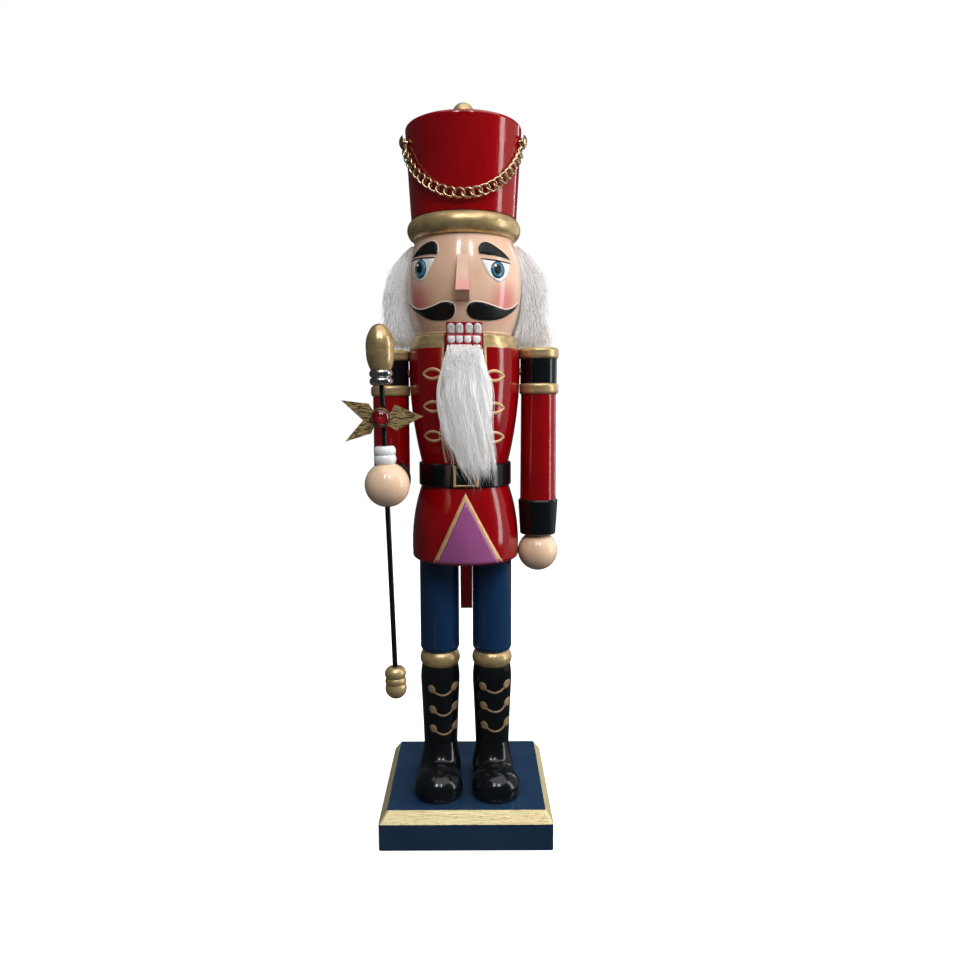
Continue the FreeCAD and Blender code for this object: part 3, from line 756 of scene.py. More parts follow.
# ------------------------------------------------------------------------ face
@dataclass
class Face:
    """Painted eyes, brows, moustache, mouth and teeth."""

    canvas: Canvas = field(default_factory=lambda: Canvas("head"))
    jaw: Canvas = field(default_factory=lambda: Canvas("jaw_lever", "jaw"))
    outline: float = 0.42

    def paint(self) -> None:
        """Paint the whole face."""
        self._brows()
        self._eyes()
        self._moustache()
        self._mouth()

    def _brows(self) -> None:
        """Thick black brows with a pale edge."""
        # Numbers printed by a measuring program, against the rule for outlines; report.md lists them.
        right = [(-26.1, 301.1), (-23.3, 304.1), (-19.8, 306.5), (-16.4, 307.5), (-14.0, 307.0), (-12.6, 304.6),
                 (-12.5, 302.1), (-13.0, 300.4), (-16.4, 300.8), (-20.6, 301.0)]
        left = [(7.9, 300.3), (7.4, 302.8), (8.4, 305.2), (10.7, 306.4), (13.6, 305.8), (17.1, 304.0), (20.7, 301.6),
                (23.7, 298.9), (19.5, 299.4), (15.9, 299.8), (12.4, 299.9)]
        shapes = [rounded(right, (0, 7)), rounded(left, (0, 7))]
        self.canvas.paint("brow_edges", [grown(s, self.outline) for s in shapes], Tin.PALE, 0.05, "skin_paint")
        self.canvas.paint("brows", shapes, Tin.INK, 0.11, "black_gloss")

    def _eyes(self) -> None:
        """Eyes: white, iris, pupil and glint under a black lash line."""
        # Numbers printed by a measuring program, against the rule for outlines; report.md lists them.
        right = [(-26.0, 299.7), (-26.0, 295.3), (-25.0, 291.4), (-22.3, 288.0), (-19.6, 289.1), (-17.5, 292.2),
                 (-15.5, 295.6), (-14.1, 298.6), (-18.2, 299.1), (-22.2, 299.4)]
        left = [(8.8, 297.7), (10.1, 294.0), (11.9, 290.9), (14.4, 288.5), (17.8, 287.0), (20.9, 289.2),
                (22.5, 293.0), (23.2, 297.1), (18.2, 297.3), (13.5, 297.4)]
        whites = [rounded(right, (0, 7)), rounded(left, (0, 7))]
        self.canvas.paint("eye_whites", whites, Tin.EYEWHITE, 0.05, "white_paint")
        irises = [(-21.5, 294.2, 3.1, 4.8), (17.0, 293.0, 3.5, 4.2)]
        self.canvas.paint("iris_rims", [oval(*i) for i in irises], Tin.IRIS_RIM, 0.09, "navy_gloss")
        inner = [oval(x, z, a - 0.6, b - 0.6) for x, z, a, b in irises]
        self.canvas.paint("irises", inner, Tin.IRIS, 0.13, "navy_gloss")
        pupils = [oval(-22.0, 294.8, 1.6, 2.8), oval(16.9, 293.3, 1.7, 2.5)]
        self.canvas.paint("pupils", pupils, Tin.INK, 0.17, "black_gloss")
        glints = [oval(-23.1, 296.3, 0.55, 0.75), oval(15.8, 294.9, 0.6, 0.7)]
        self.canvas.paint("eye_glints", glints, Tin.TOOTH, 0.21, "white_paint")
        # Numbers printed by a measuring program, against the rule for outlines; report.md lists them.
        lashes = [
            ribbon([(-26.5, 299.8), (-22.2, 299.6), (-18.2, 299.3), (-14.0, 298.8)], 0.62, 0.3),
            ribbon([(8.7, 297.8), (13.6, 297.6), (18.2, 297.4), (23.4, 297.0)], 0.62, 0.3),
        ]
        self.canvas.paint("lash_lines", lashes, Tin.INK, 0.24, "black_gloss")

    def _moustache(self) -> None:
        """Two black halves, round at the nose and curling up to a point."""
        # Numbers printed by a measuring program, against the rule for outlines; report.md lists them.
        right = [(-4.2, 273.3), (-4.6, 275.5), (-6.0, 276.7), (-8.3, 277.2), (-11.0, 277.0), (-14.8, 275.7),
                 (-19.1, 274.6), (-22.2, 274.6), (-25.5, 276.0), (-28.2, 278.6), (-26.2, 275.3), (-23.0, 272.4),
                 (-19.2, 270.1), (-15.6, 268.9), (-12.0, 268.5), (-8.5, 268.6), (-5.8, 269.8), (-4.6, 271.4)]
        left = [(27.9, 278.6), (25.6, 276.2), (22.2, 274.5), (18.8, 274.5), (13.5, 275.9), (9.4, 276.9),
                (5.4, 277.1), (2.8, 276.0), (1.5, 273.5), (2.1, 271.1), (4.2, 269.3), (7.7, 268.5), (11.8, 268.4),
                (15.9, 268.9), (20.1, 270.4), (23.8, 273.0), (26.3, 275.6)]
        shapes = [rounded(right, (9,)), rounded(left, (0,))]
        self.canvas.paint("moustache_edges", [grown(s, self.outline) for s in shapes], Tin.PALE, 0.05, "skin_paint")
        self.canvas.paint("moustache", shapes, Tin.INK, 0.11, "black_gloss")

    @staticmethod
    def _tooth(x: float, low: float, high: float, half: float, round_up: bool) -> list[Point2]:
        """One tooth's outline, rounded at its gum end.

        Args:
            x: Middle.
            low: Lower end.
            high: Upper end.
            half: Half width.
            round_up: Whether the round end is on top.

        Returns:
            Points of the outline.
        """
        gum, bite = (high, low) if round_up else (low, high)
        lean = 0.5 if round_up else -0.5
        arch = [(math.cos(a), math.sin(a)) for a in (math.pi * k / 11 for k in range(12))]
        crown = [(x + half * c, gum - lean * 2 * half + lean * 2 * half * s) for c, s in arch]
        step = 0.5 if round_up else -0.5
        foot = [(x - half * 0.97, bite + step), (x - half * 0.7, bite),
                (x + half * 0.7, bite), (x + half * 0.97, bite + step)]
        return [*crown, *foot]

    def _mouth(self) -> None:
        """Red mouth, four teeth on the head and four on the jaw block."""
        mouth = Canvas("head", hem_z=263.9, depth=1.1)
        upper = [(-8.8, 261.75), (9.3, 261.75), (9.2, 267.6), (-8.7, 267.7)]
        mouth.paint("mouth_red", [rounded(upper, (0, 1, 2, 3))], Tin.LIP, 0.05, "red_gloss")
        spots = [(-6.4, 2.0), (-2.15, 1.95), (2.6, 2.0), (6.95, 1.9)]
        teeth = [self._tooth(x, 261.9, 267.1, half, True) for x, half in spots]
        mouth.paint("upper_teeth", teeth, Tin.TOOTH, 0.16, "white_paint")
        lower = [(-9.1, 254.6), (9.1, 254.6), (9.1, 261.45), (-9.1, 261.45)]
        self.jaw.paint("jaw_red", [rounded(lower, (0, 1, 2, 3))], Tin.LIP, 0.05, "red_gloss")
        spots = [(-6.2, 1.9), (-2.15, 1.7), (1.95, 1.7), (6.4, 1.9)]
        teeth = [self._tooth(x, 256.9, 260.7, half, False) for x, half in spots]
        self.jaw.paint("lower_teeth", teeth, Tin.TOOTH, 0.12, "white_paint")


# ---------------------------------------------------------------------- jacket
@dataclass
class Jacket:
    """Gold frogs and piping, the belt's buckle outline and the apron."""

    torso: Canvas = field(default_factory=lambda: Canvas("torso"))
    belt: Canvas = field(default_factory=lambda: Canvas("belt"))
    skirt: Canvas = field(default_factory=lambda: Canvas("jacket_skirt"))
    frog_rows: tuple[Point2, ...] = ((242.2, 241.1), (225.8, 225.0), (210.7, 210.1))

    def paint(self) -> None:
        """Paint the trim."""
        loops: list[list[Point2]] = []
        for right_z, left_z in self.frog_rows:
            loops += self._frog(-15.9, right_z, 5.1) + self._frog(15.3, left_z, 5.2)
        self.torso.paint("frogs", loops, Tin.TRIM, 0.07, "gold_paint")
        lines = [
            ribbon([(-10.5, 255.2), (-11.0, 240.0), (-11.2, 222.0), (-11.1, 209.0), (-10.4, 202.0),
                    (-9.4, 197.0)], 1.25),
            ribbon([(10.5, 255.2), (10.9, 240.0), (11.0, 222.0), (10.9, 209.0), (10.2, 202.0),
                    (9.3, 197.0)], 1.25),
        ]
        self.torso.paint("piping", lines, Tin.TRIM, 0.09, "gold_paint")
        self._buckle()
        self._apron()

    @staticmethod
    def _frog(x: float, z: float, half: float) -> list[list[Point2]]:
        """Upper and lower brush strokes of one lens-shaped frog."""
        tall = 2.45
        bows = []
        for sign in (1.0, -1.0):
            path = [(x - half, z), (x - half * 0.55, z + sign * tall * 0.7), (x, z + sign * tall),
                    (x + half * 0.55, z + sign * tall * 0.7), (x + half, z)]
            bows.append(ribbon(path, 1.6, 0.35))
        return bows

    def _buckle(self) -> None:
        """Square gold outline on the belt."""
        low, high, left, right = 184.6, 196.0, -5.1, 6.4
        bars = [
            [(left - 0.7, low), (left - 0.7, high), (left + 0.7, high), (left + 0.7, low)],
            [(right - 0.7, low), (right - 0.7, high), (right + 0.7, high), (right + 0.7, low)],
            [(left - 0.7, low), (right + 0.7, low), (right + 0.7, low + 1.3), (left - 0.7, low + 1.3)],
            [(left - 0.7, high - 1.3), (right + 0.7, high - 1.3), (right + 0.7, high), (left - 0.7, high)],
        ]
        self.belt.paint("buckle_line", [rounded(b, (0, 1, 2, 3)) for b in bars], Tin.TRIM, 0.08, "gold_paint")

    def _apron(self) -> None:
        """Mauve wedge with a gold border on the skirt's front."""
        foot = 144.75
        wedge = [(0.3, 181.9), (-16.9, foot), (20.0, foot)]
        self.skirt.paint("apron_border", [rounded(wedge, (0, 1, 2), 1.0)], Tin.TRIM, 0.06, "gold_paint")
        wedge = [(0.4, 177.9), (-14.6, foot - 0.1), (17.9, foot - 0.1)]
        self.skirt.paint("apron_wedge", [rounded(wedge, (0, 1, 2), 1.0)], Tin.APRON, 0.12, "red_gloss")


# ----------------------------------------------------------------------- boots
@dataclass
class Boots:
    """Gold laces looped between studs on both boots."""

    rows_right: tuple[tuple[Point2, Point2], ...] = (
        ((-18.8, 72.3), (-6.3, 73.1)), ((-18.3, 60.6), (-6.2, 61.5)), ((-18.2, 49.6), (-6.0, 50.1)))
    rows_left: tuple[tuple[Point2, Point2], ...] = (
        ((9.1, 73.7), (22.3, 74.3)), ((9.5, 62.6), (22.6, 63.7)), ((9.9, 51.3), (22.4, 52.2)))

    def paint(self) -> None:
        """Paint the laces of both boots."""
        self._laces("boot_shaft_right", "boot_laces_right", self.rows_right)
        self._laces("boot_shaft_left", "boot_laces_left", self.rows_left)

    @staticmethod
    def _laces(node: str, name: str, rows: Iterable[tuple[Point2, Point2]]) -> None:
        """Paint one boot's laces.

        Args:
            node: The boot shaft's node.
            name: Piece name.
            rows: Middle of the two studs of each row.
        """
        canvas = Canvas(node, grid=1.0)
        laces, studs = [], []
        for (x0, z0), (x1, z1) in rows:
            studs += [oval(x0, z0, 1.95, 2.45, 22.0), oval(x1, z1, 1.85, 2.5, -20.0)]
            middle, low = (x0 + x1) / 2, min(z0, z1) - 3.4
            path = [(x0 + 0.9, z0 - 1.0), ((x0 + middle) / 2, low + 0.9), (middle, low),
                    ((x1 + middle) / 2, low + 0.9), (x1 - 0.8, z1 - 1.0)]
            laces.append(ribbon(path, 1.15))
        canvas.paint(name, laces, Tin.LACE, 0.07, "gold_paint")
        canvas.paint(name.replace("laces", "studs"), studs, Tin.LACE, 0.12, "gold_paint")


@dataclass
class Shoes:
    """Smooth carved feet: a full round toe that runs up into the ankle."""

    grain: float = 0.62
    smoothing: int = 60
    sole_z: float = 19.8

    def build(self) -> None:
        """Make both feet over the turned blanks."""
        for node, x, toe_out in (("shoe_right", -14.4, -0.3), ("shoe_left", 14.4, 1.6)):
            verts: list[Vector] = []
            faces: list[tuple[int, ...]] = []
            for middle, half in self._lumps(x, toe_out):
                self._ball(middle, half, verts, faces)
            verts, faces = self._melt(verts, faces)
            foot = piece(node.replace("shoe", "carved_shoe"), verts, faces, Tin.BLACK, "figure")
            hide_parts(node)

    @staticmethod
    def _lumps(x: float, toe_out: float) -> list[tuple[Vector, Vector]]:
        """Rounded lumps that one foot is made of, in millimetres.

        Args:
            x: The leg's axis.
            toe_out: How far the toe points outwards.

        Returns:
            Middle and half sizes of each lump.
        """
        lumps = [(Vector((x, 0.6, 24.6)), Vector((11.6, 11.2, 9.6)))]
        for k in range(1, 8):
            t = k / 8
            wide = 11.7 + 1.0 * t
            size = Vector((wide, 11.8, 9.6 - 0.4 * math.sin(math.pi * t)))
            lumps.append((Vector((x + toe_out * t, -23.0 * t, 23.0)), size))
        lumps.append((Vector((x + toe_out, -23.4, 23.8)), Vector((13.3, 13.2, 10.7))))
        for k in range(8):
            rise = k / 7
            wide = 9.55 + 2.3 * (1.0 - rise) ** 1.6
            lumps.append((Vector((x, -4.6 * (1.0 - rise) ** 1.3, 28.5 + 12.5 * rise)), Vector((wide, wide, 3.2))))
        return lumps

    @staticmethod
    def _ball(middle: Vector, half: Vector, verts: list[Vector], faces: list[tuple[int, ...]]) -> None:
        """Add a closed lump to the points and faces."""
        rows, around = 16, 30
        base = len(verts)
        for r in range(1, rows):
            tip = math.pi * r / rows
            for k in range(around):
                turn = 2 * math.pi * k / around
                unit = Vector((math.sin(tip) * math.cos(turn), math.sin(tip) * math.sin(turn), -math.cos(tip)))
                verts.append((middle + unit * half) * MM)
        verts += [(middle - Vector((0.0, 0.0, half.z))) * MM, (middle + Vector((0.0, 0.0, half.z))) * MM]
        low, high = len(verts) - 2, len(verts) - 1
        for k in range(around):
            n = (k + 1) % around
            faces.append((base + n, base + k, low))
            for r in range(rows - 2):
                a, b = base + r * around + k, base + r * around + n
                faces.append((a, b, b + around, a + around))
            faces.append((base + (rows - 2) * around + k, base + (rows - 2) * around + n, high))

    def _melt(self, verts: list[Vector], faces: list[tuple[int, ...]]) -> tuple[list[Vector], list[tuple[int, ...]]]:
        """Join the lumps into one skin, smooth it and cut it flat at the sole.

        Args:
            verts: Points of all the lumps.
            faces: Faces of all the lumps.

        Returns:
            Points and faces of the one skin.
        """
        mesh = bpy.data.meshes.new("foot_lumps")
        mesh.from_pydata([tuple(v) for v in verts], [], faces)
        holder = bpy.data.objects.new("foot_lumps", mesh)
        bpy.context.scene.collection.objects.link(holder)
        skin = holder.modifiers.new("skin", "REMESH")
        skin.mode = "VOXEL"
        skin.voxel_size = self.grain * MM
        soften = holder.modifiers.new("soften", "SMOOTH")
        soften.factor = 0.5
        soften.iterations = self.smoothing
        done = holder.evaluated_get(bpy.context.evaluated_depsgraph_get()).to_mesh()
        points = [Vector((v.co.x, v.co.y, max(v.co.z, self.sole_z * MM))) for v in done.vertices]
        skins = [tuple(p.vertices) for p in done.polygons]
        bpy.data.objects.remove(holder)
        bpy.data.meshes.remove(mesh)
        return points, skins


# ------------------------------------------------------------------- hat chain
@dataclass
class HatChain:
    """Flat twisted curb chain, hung round the front of the hat."""

    end_angle: float = math.radians(73.0)
    low_z: float = 328.4
    top_z: float = 354.7
    stand_off: float = 1.75
    pitch: float = 4.3
    half_long: float = 2.85
    half_wide: float = 2.2
    twist: float = 0.62
    wire: float = 0.58

    def _middle(self, angle: float) -> Vector:
        """Point of the chain's middle line, in millimetres, at an angle from the front."""
        z = self.low_z + (self.top_z - self.low_z) * (angle / self.end_angle) ** 2
        radius = 27.3 + (z - 321.5) / 46.0 * 2.6 + self.stand_off
        return Vector((radius * math.sin(angle), -radius * math.cos(angle), z))

    def build(self) -> None:
        """Make every link at even steps along the line, and an end ring on each knob."""
        fine = 900
        line = [self._middle(self.end_angle * (2 * i / fine - 1)) for i in range(fine + 1)]
        reach = [0.0]
        for a, b in zip(line, line[1:]):
            reach.append(reach[-1] + (b - a).length)
        count = round(reach[-1] / self.pitch)
        verts: list[Vector] = []
        faces: list[tuple[int, ...]] = []
        for n in range(count):
            i = min(range(1, fine), key=lambda k: abs(reach[k] - (n + 0.5) * reach[-1] / count))
            along = (line[i + 1] - line[i - 1]).normalized()
            out = Vector((line[i].x, line[i].y, 0.0)).normalized()
            normal = (out - along * out.dot(along)).normalized()
            self._link(line[i], along, normal.cross(along), normal, verts, faces)
        for side in (-1.0, 1.0):
            spots = [2 * math.pi * k / 26 for k in range(26)]
            ring = [Vector((side * 29.88, -7.9 + 2.0 * math.sin(a), 358.12 + 2.0 * math.cos(a))) * MM for a in spots]
            tube(ring, self.wire * MM, 8, verts, faces)
        chain = piece("curb_chain", verts, faces, Tin.CHAIN, "chain")
        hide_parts("hat_chain")

    def _link(
        self, middle: Vector, along: Vector, across: Vector, normal: Vector,
        verts: list[Vector], faces: list[tuple[int, ...]]
    ) -> None:
        """Add one twisted link, in its own frame of three directions."""
        ring = []
        for k in range(30):
            a = 2 * math.pi * k / 30
            flat = along * self.half_long * math.cos(a) + across * self.half_wide * math.sin(a)
            ring.append((middle + flat + normal * self.twist * math.sin(2 * a)) * MM)
        tube(ring, self.wire * MM, 8, verts, faces)


# ------------------------------------------------------------------------- fur
def hair(
    root: Vector, path: Track, count: int, thick: float, verts: list[Vector], faces: list[tuple[int, ...]]
) -> None:
    """Add one tapered three-sided hair.

    Args:
        root: Where it starts, in metres.
        path: Offset from the root, in metres, at a share of its length.
        count: Segments.
        thick: Radius at its widest, in metres.
        verts: Points, added to.
        faces: Faces, added to.
    """
    spots = [root + path(k / count) for k in range(count + 1)]
    base = len(verts)
    side = (spots[1] - spots[0]).orthogonal().normalized()
    for k in range(count):
        along = (spots[k + 1] - spots[max(k - 1, 0)]).normalized()
        side = (side - along * side.dot(along)).normalized()
        other = along.cross(side)
        radius = thick * (1.0 - 0.85 * (k / count) ** 2)
        for m in range(3):
            turn = 2 * math.pi * m / 3
            verts.append(spots[k] + (side * math.cos(turn) + other * math.sin(turn)) * radius)
    verts.append(spots[-1])
    tip = len(verts) - 1
    faces.append((base + 2, base + 1, base))
    for k in range(count - 1):
        for m in range(3):
            a, b = base + 3 * k + m, base + 3 * k + (m + 1) % 3
            faces.append((a, b, b + 3, a + 3))
    for m in range(3):
        faces.append((base + 3 * (count - 1) + m, base + 3 * (count - 1) + (m + 1) % 3, tip))


@dataclass
class Wig:
    """Long white fur glued round the sides and back of the head."""

    seed: int = 7
    hairs: int = 5600
    segments: int = 6
    front_right: float = 88.5
    front_left: float = 87.5

    def build(self) -> None:
        """Grow the fur in four pieces over a dense under-layer."""
        span = 360.0 - self.front_right - self.front_left
        start = self.front_left
        share = span / 4.0
        for k, name in enumerate(("wig_fur_left", "wig_fur_back_left", "wig_fur_back_right", "wig_fur_right")):
            fur = self._fur(name, start + k * share, start + (k + 1) * share, self.seed + k)
            if k == 0:
                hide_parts("wig")
        self._under()

    @staticmethod
    def _reach(angle: float, z: float) -> float:
        """Radius of the fur's outside, in millimetres.

        Args:
            angle: Degrees round from the front towards the soldier's left.
            z: Height in millimetres.

        Returns:
            Distance from the head's axis.
        """
        # Left side rounded from numbers printed by a measuring program, against the rule on tables; see report.md.
        left = ((309.0, 33.5), (304.0, 38.8), (296.0, 42.2), (287.0, 43.5), (278.0, 43.8),
                (269.0, 45.2), (261.0, 47.0), (254.0, 45.5))
        right = ((309.0, 31.5), (304.0, 36.0), (296.0, 39.6), (287.0, 41.9), (278.0, 43.2),
                 (269.0, 42.9), (261.0, 41.6), (254.0, 40.5))
        sides = []
        for stops in (left, right):
            z = min(max(z, 254.01), 308.99)
            near = [(a, b) for a, b in zip(stops, stops[1:]) if a[0] >= z >= b[0]][0]
            share = (near[0][0] - z) / (near[0][0] - near[1][0])
            sides.append(near[0][1] + (near[1][1] - near[0][1]) * share)
        turn = 0.5 - 0.5 * math.sin(math.radians(angle))
        return sides[0] + (sides[1] - sides[0]) * turn - 2.2 * math.cos(math.radians(angle - 180.0)) ** 2

    def _spot(self, angle: float, share: float, depth: float) -> Vector:
        """Place in the fur, in millimetres.

        Args:
            angle: Degrees from the front towards the soldier's left.
            share: 0 at the top, 1 at the lower ends.
            depth: 0 at the head, 1 at the outside.

        Returns:
            The place.
        """
        z = 309.0 - share * 52.5
        head = 25.4 + 4.7 * max(0.0, 1.0 - ((z - 285.5) / 24.5) ** 2) + 0.3
        radius = head + depth * (self._reach(angle, z) - head)
        turn = math.radians(angle)
        return Vector((radius * math.sin(turn), -radius * math.cos(turn), z))

    def _fur(self, name: str, start: float, end: float, seed: int) -> bpy.types.Object:
        """Grow one piece of fur.

        Args:
            name: Piece name.
            start: First angle.
            end: Last angle.
            seed: Seed of its random draws.

        Returns:
            The fur.
        """
        rng = random.Random(seed)
        verts: list[Vector] = []
        faces: list[tuple[int, ...]] = []
        locks = [(rng.uniform(start, end), rng.uniform(-9.0, 9.0), rng.uniform(-1.8, 1.8)) for _ in range(46)]
        for n in range(self.hairs):
            stray = n % 30 == 0
            angle, sway, push = rng.choice(locks)
            angle = min(max(angle + rng.gauss(0.0, 3.6), start), end)
            edge = min(angle - self.front_left, 360.0 - self.front_right - angle) < 15.0
            top = rng.random() ** 1.3 * 0.66
            low = min(top + rng.uniform(0.34, 0.62), 0.985 + rng.gauss(0.0, 0.035))
            if abs(angle - 180.0) < 26.0:
                top, low = top * 0.9, min(low, 0.915)
            depth = (rng.random() if edge else 0.2 + 0.8 * rng.random() ** 0.5) + (0.12 if stray else 0.0)
            curl, phase = rng.uniform(0.4, 1.7), rng.uniform(0.0, 6.3)
            lean = sway * rng.uniform(0.4, 1.2)

            def track(t: float) -> Vector:
                """Offset of the hair from its root."""
                share = top + (low - top) * t
                out = depth * (0.3 + 0.7 * min(1.0, t * 1.6) ** 0.7)
                spot = self._spot(angle + lean * t * t, share, out)
                wave = curl * math.sin(phase + 5.8 * t) * t
                return (spot + Vector((wave * 0.6, wave, push * t)) - origin) * MM

            origin = self._spot(angle, top, depth * 0.3)
            hair(origin * MM, track, self.segments, rng.uniform(0.10, 0.17) * MM, verts, faces)
        return piece(name, verts, faces, Tin.FUR, "figure")

    def _under(self) -> None:
        """Dense inner layer that the long hairs stand over, greyer as painted shade."""
        rng = random.Random(self.seed + 11)
        columns, rows = 96, 26
        start, end = self.front_left + 2.0, 360.0 - self.front_right - 2.0
        verts: list[Vector] = []
        faces: list[tuple[int, ...]] = []
        ridges = [rng.uniform(0.5, 0.7) for _ in range(columns + 1)]
        for c in range(columns + 1):
            angle = start + (end - start) * c / columns
            edge = min(1.0, 0.4 + 9.0 * min(c, columns - c) / columns)
            for r in range(rows + 1):
                share = 0.01 + 0.93 * r / rows
                swell = edge * math.sin(math.pi * (0.12 + 0.8 * r / rows))
                verts.append(self._spot(angle, share, ridges[c] * swell) * MM)
            for r in range(rows, -1, -1):
                verts.append(self._spot(angle, 0.01 + 0.93 * r / rows, 0.0) * MM)
        ring = 2 * (rows + 1)
        for c in range(columns):
            for k in range(ring):
                a, b = c * ring + k, c * ring + (k + 1) % ring
                faces.append((a, b, b + ring, a + ring))
        faces.append(tuple(range(ring - 1, -1, -1)))
        faces.append(tuple(columns * ring + k for k in range(ring)))
        piece("wig_underfur", verts, faces, Tin.UNDERFUR, "figure")


@dataclass
class Beard:
    """Long fur hung from the jaw block, swept to the soldier's left at its tip."""

    seed: int = 23
    hairs: int = 2700
    segments: int = 11
    top_z: float = 255.8

    def build(self) -> None:
        """Grow the beard from the jaw block down over the figure's front."""
        rng = random.Random(self.seed)
        verts: list[Vector] = []
        faces: list[tuple[int, ...]] = []
        locks = []
        for _ in range(46):
            middle = rng.uniform(-1.0, 1.0)
            drop = rng.uniform(-5.0, 9.0) + 6.0 * max(0.0, -0.2 - middle)
            locks.append((middle, rng.uniform(-2.2, 2.2), drop, rng.uniform(0.9, 2.9), rng.uniform(0.0, 6.3)))
        for n in range(self.hairs):
            stray = n % 15 == 0
            across, sway, drop, swing, turn = rng.choice(locks)
            across = min(max(across + rng.gauss(0.0, 0.07), -1.0), 1.0)
            top = self.top_z - 2.4 * rng.random() - 1.6 * abs(across) ** 3 - (44.0 * rng.random() ** 1.8)
            layer = rng.random()
            end = min(192.5 + drop + rng.gauss(0.0, 2.2) + 5.0 * abs(across) ** 2, top - 16.0)
            if stray:
                end = max(end - rng.uniform(0.0, 9.0), 182.0)
            wave, phase = rng.uniform(0.2, 0.7), rng.uniform(0.0, 6.3)
            spread = rng.uniform(-5.5, 3.5) if stray else rng.gauss(0.0, 0.6)

            def track(t: float) -> Vector:
                """Offset of the hair from its root."""
                z = top + (end - top) * t
                flow = swing * math.sin((self.top_z - z) * 0.085 + turn) * min(1.0, (self.top_z - z) / 22.0)
                drift = (sway * 0.8 + spread) * t * t
                x = self._across(across, z) + flow + drift + wave * math.sin(phase + 4.0 * t) * t
                lift = 0.3 + 4.4 * layer * min(1.0, 3.0 * t) ** 0.8 * math.cos(across * 1.2)
                lift += 0.7 * math.cos((self.top_z - z) * 0.085 + turn) * t + (1.6 * t * t if stray else 0.0)
                return Vector((x, self._back(x, z) - max(lift, 0.2), z)) * MM - origin

            origin = Vector((0.0, 0.0, 0.0))
            root = track(0.0)
            origin = root.copy()
            hair(root, track, self.segments, rng.uniform(0.10, 0.17) * MM, verts, faces)
        self._fuzz(rng, verts, faces)
        beard = piece("beard_fur", verts, faces, Tin.FUR, "")
        under = self._under()
        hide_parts("beard")
        for made in (beard, under):
            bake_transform(made)

    def _fuzz(self, rng: random.Random, verts: list[Vector], faces: list[tuple[int, ...]]) -> None:
        """Add the short curly hairs at the top of the beard.

        Args:
            rng: Random draws.
            verts: Points, added to.
            faces: Faces, added to.
        """
        for _ in range(1100):
            z = self.top_z + 0.5 - 15.0 * rng.random() ** 1.6
            x = self._across(rng.uniform(-0.95, 0.95), z)
            aim = Vector((rng.gauss(0.0, 1.0), -rng.uniform(0.2, 1.4), -rng.uniform(2.0, 6.5)))
            curl, phase, front = rng.uniform(0.2, 0.55), rng.uniform(0.0, 6.3), rng.uniform(0.6, 3.6)

            def track(t: float) -> Vector:
                """Offset of the hair from its root."""
                twist = Vector((math.sin(phase + 6.0 * t) - math.sin(phase), 0.0, 0.6 * math.cos(phase + 6.0 * t)))
                return (aim * t + twist * curl * t) * MM

            root = Vector((x, self._back(x, z) - front * min(1.0, 0.35 + 0.2 * (self.top_z + 0.5 - z)), z)) * MM
            hair(root, track, 6, rng.uniform(0.08, 0.13) * MM, verts, faces)

    @staticmethod
    def _across(share: float, z: float) -> float:
        """Where a hair lies across the beard, in millimetres.

        Args:
            share: -1 at the right edge, 1 at the left edge.
            z: Height in millimetres.

        Returns:
            The x of the hair.
        """
        stops = [(258.0, -8.2, 8.4), (250.0, -9.6, 9.4), (238.0, -11.0, 11.4), (224.0, -11.0, 12.4),
                 (208.0, -8.4, 12.8), (196.0, -3.5, 13.4), (186.0, 3.5, 13.4), (176.0, 6.0, 12.5)]
        z = min(max(z, 176.01), 257.99)
        for (z0, l0, r0), (z1, l1, r1) in zip(stops, stops[1:]):
            if z <= z0 and z >= z1:
                t = (z0 - z) / (z0 - z1)
                left, right = l0 + (l1 - l0) * t, r0 + (r1 - r0) * t
                return left + (right - left) * (share + 1.0) / 2.0
        return 0.0

    @staticmethod
    def _back(x: float, z: float) -> float:
        """Front of the body behind the beard, as y in millimetres."""
        radius = 29.6 if z > 236.0 else 29.6 - 5.6 * min(((236.0 - z) / 40.0), 1.15) ** 1.7
        radius = max(radius, 25.4 if z > 184.0 else 24.9)
        return -math.sqrt(max(radius**2 - x * x, 60.0)) - 0.2

    def _under(self) -> bpy.types.Object:
        """Dense inner layer of the beard, greyer as painted shade."""
        columns, rows = 30, 44
        verts: list[Vector] = []
        faces: list[tuple[int, ...]] = []
        rng = random.Random(self.seed + 3)
        ridge = [rng.uniform(0.7, 1.15) for _ in range(columns + 1)]
        for r in range(rows + 1):
            t = r / rows
            z = self.top_z - 2.0 - 56.0 * t
            for front in (True, False):
                order = range(columns + 1) if front else range(columns, -1, -1)
                for c in order:
                    share = (2.0 * c / columns - 1.0) * (0.93 - 0.35 * t**4)
                    x = self._across(share, z)
                    bulk = 2.9 * ridge[c] * math.cos(share * 1.4) * min(1.0, 0.35 + 4.0 * t) * (1.0 - 0.75 * t**3)
                    verts.append(Vector((x, self._back(x, z) - (bulk if front else 0.05), z)) * MM)
        ring = 2 * (columns + 1)
        for r in range(rows):
            for k in range(ring):
                a, b = r * ring + k, r * ring + (k + 1) % ring
                faces.append((a, a + ring, b + ring, b))
        faces.append(tuple(range(ring)))
        faces.append(tuple(rows * ring + k for k in range(ring - 1, -1, -1)))
        return piece("beard_underfur", verts, faces, Tin.UNDERFUR, "")


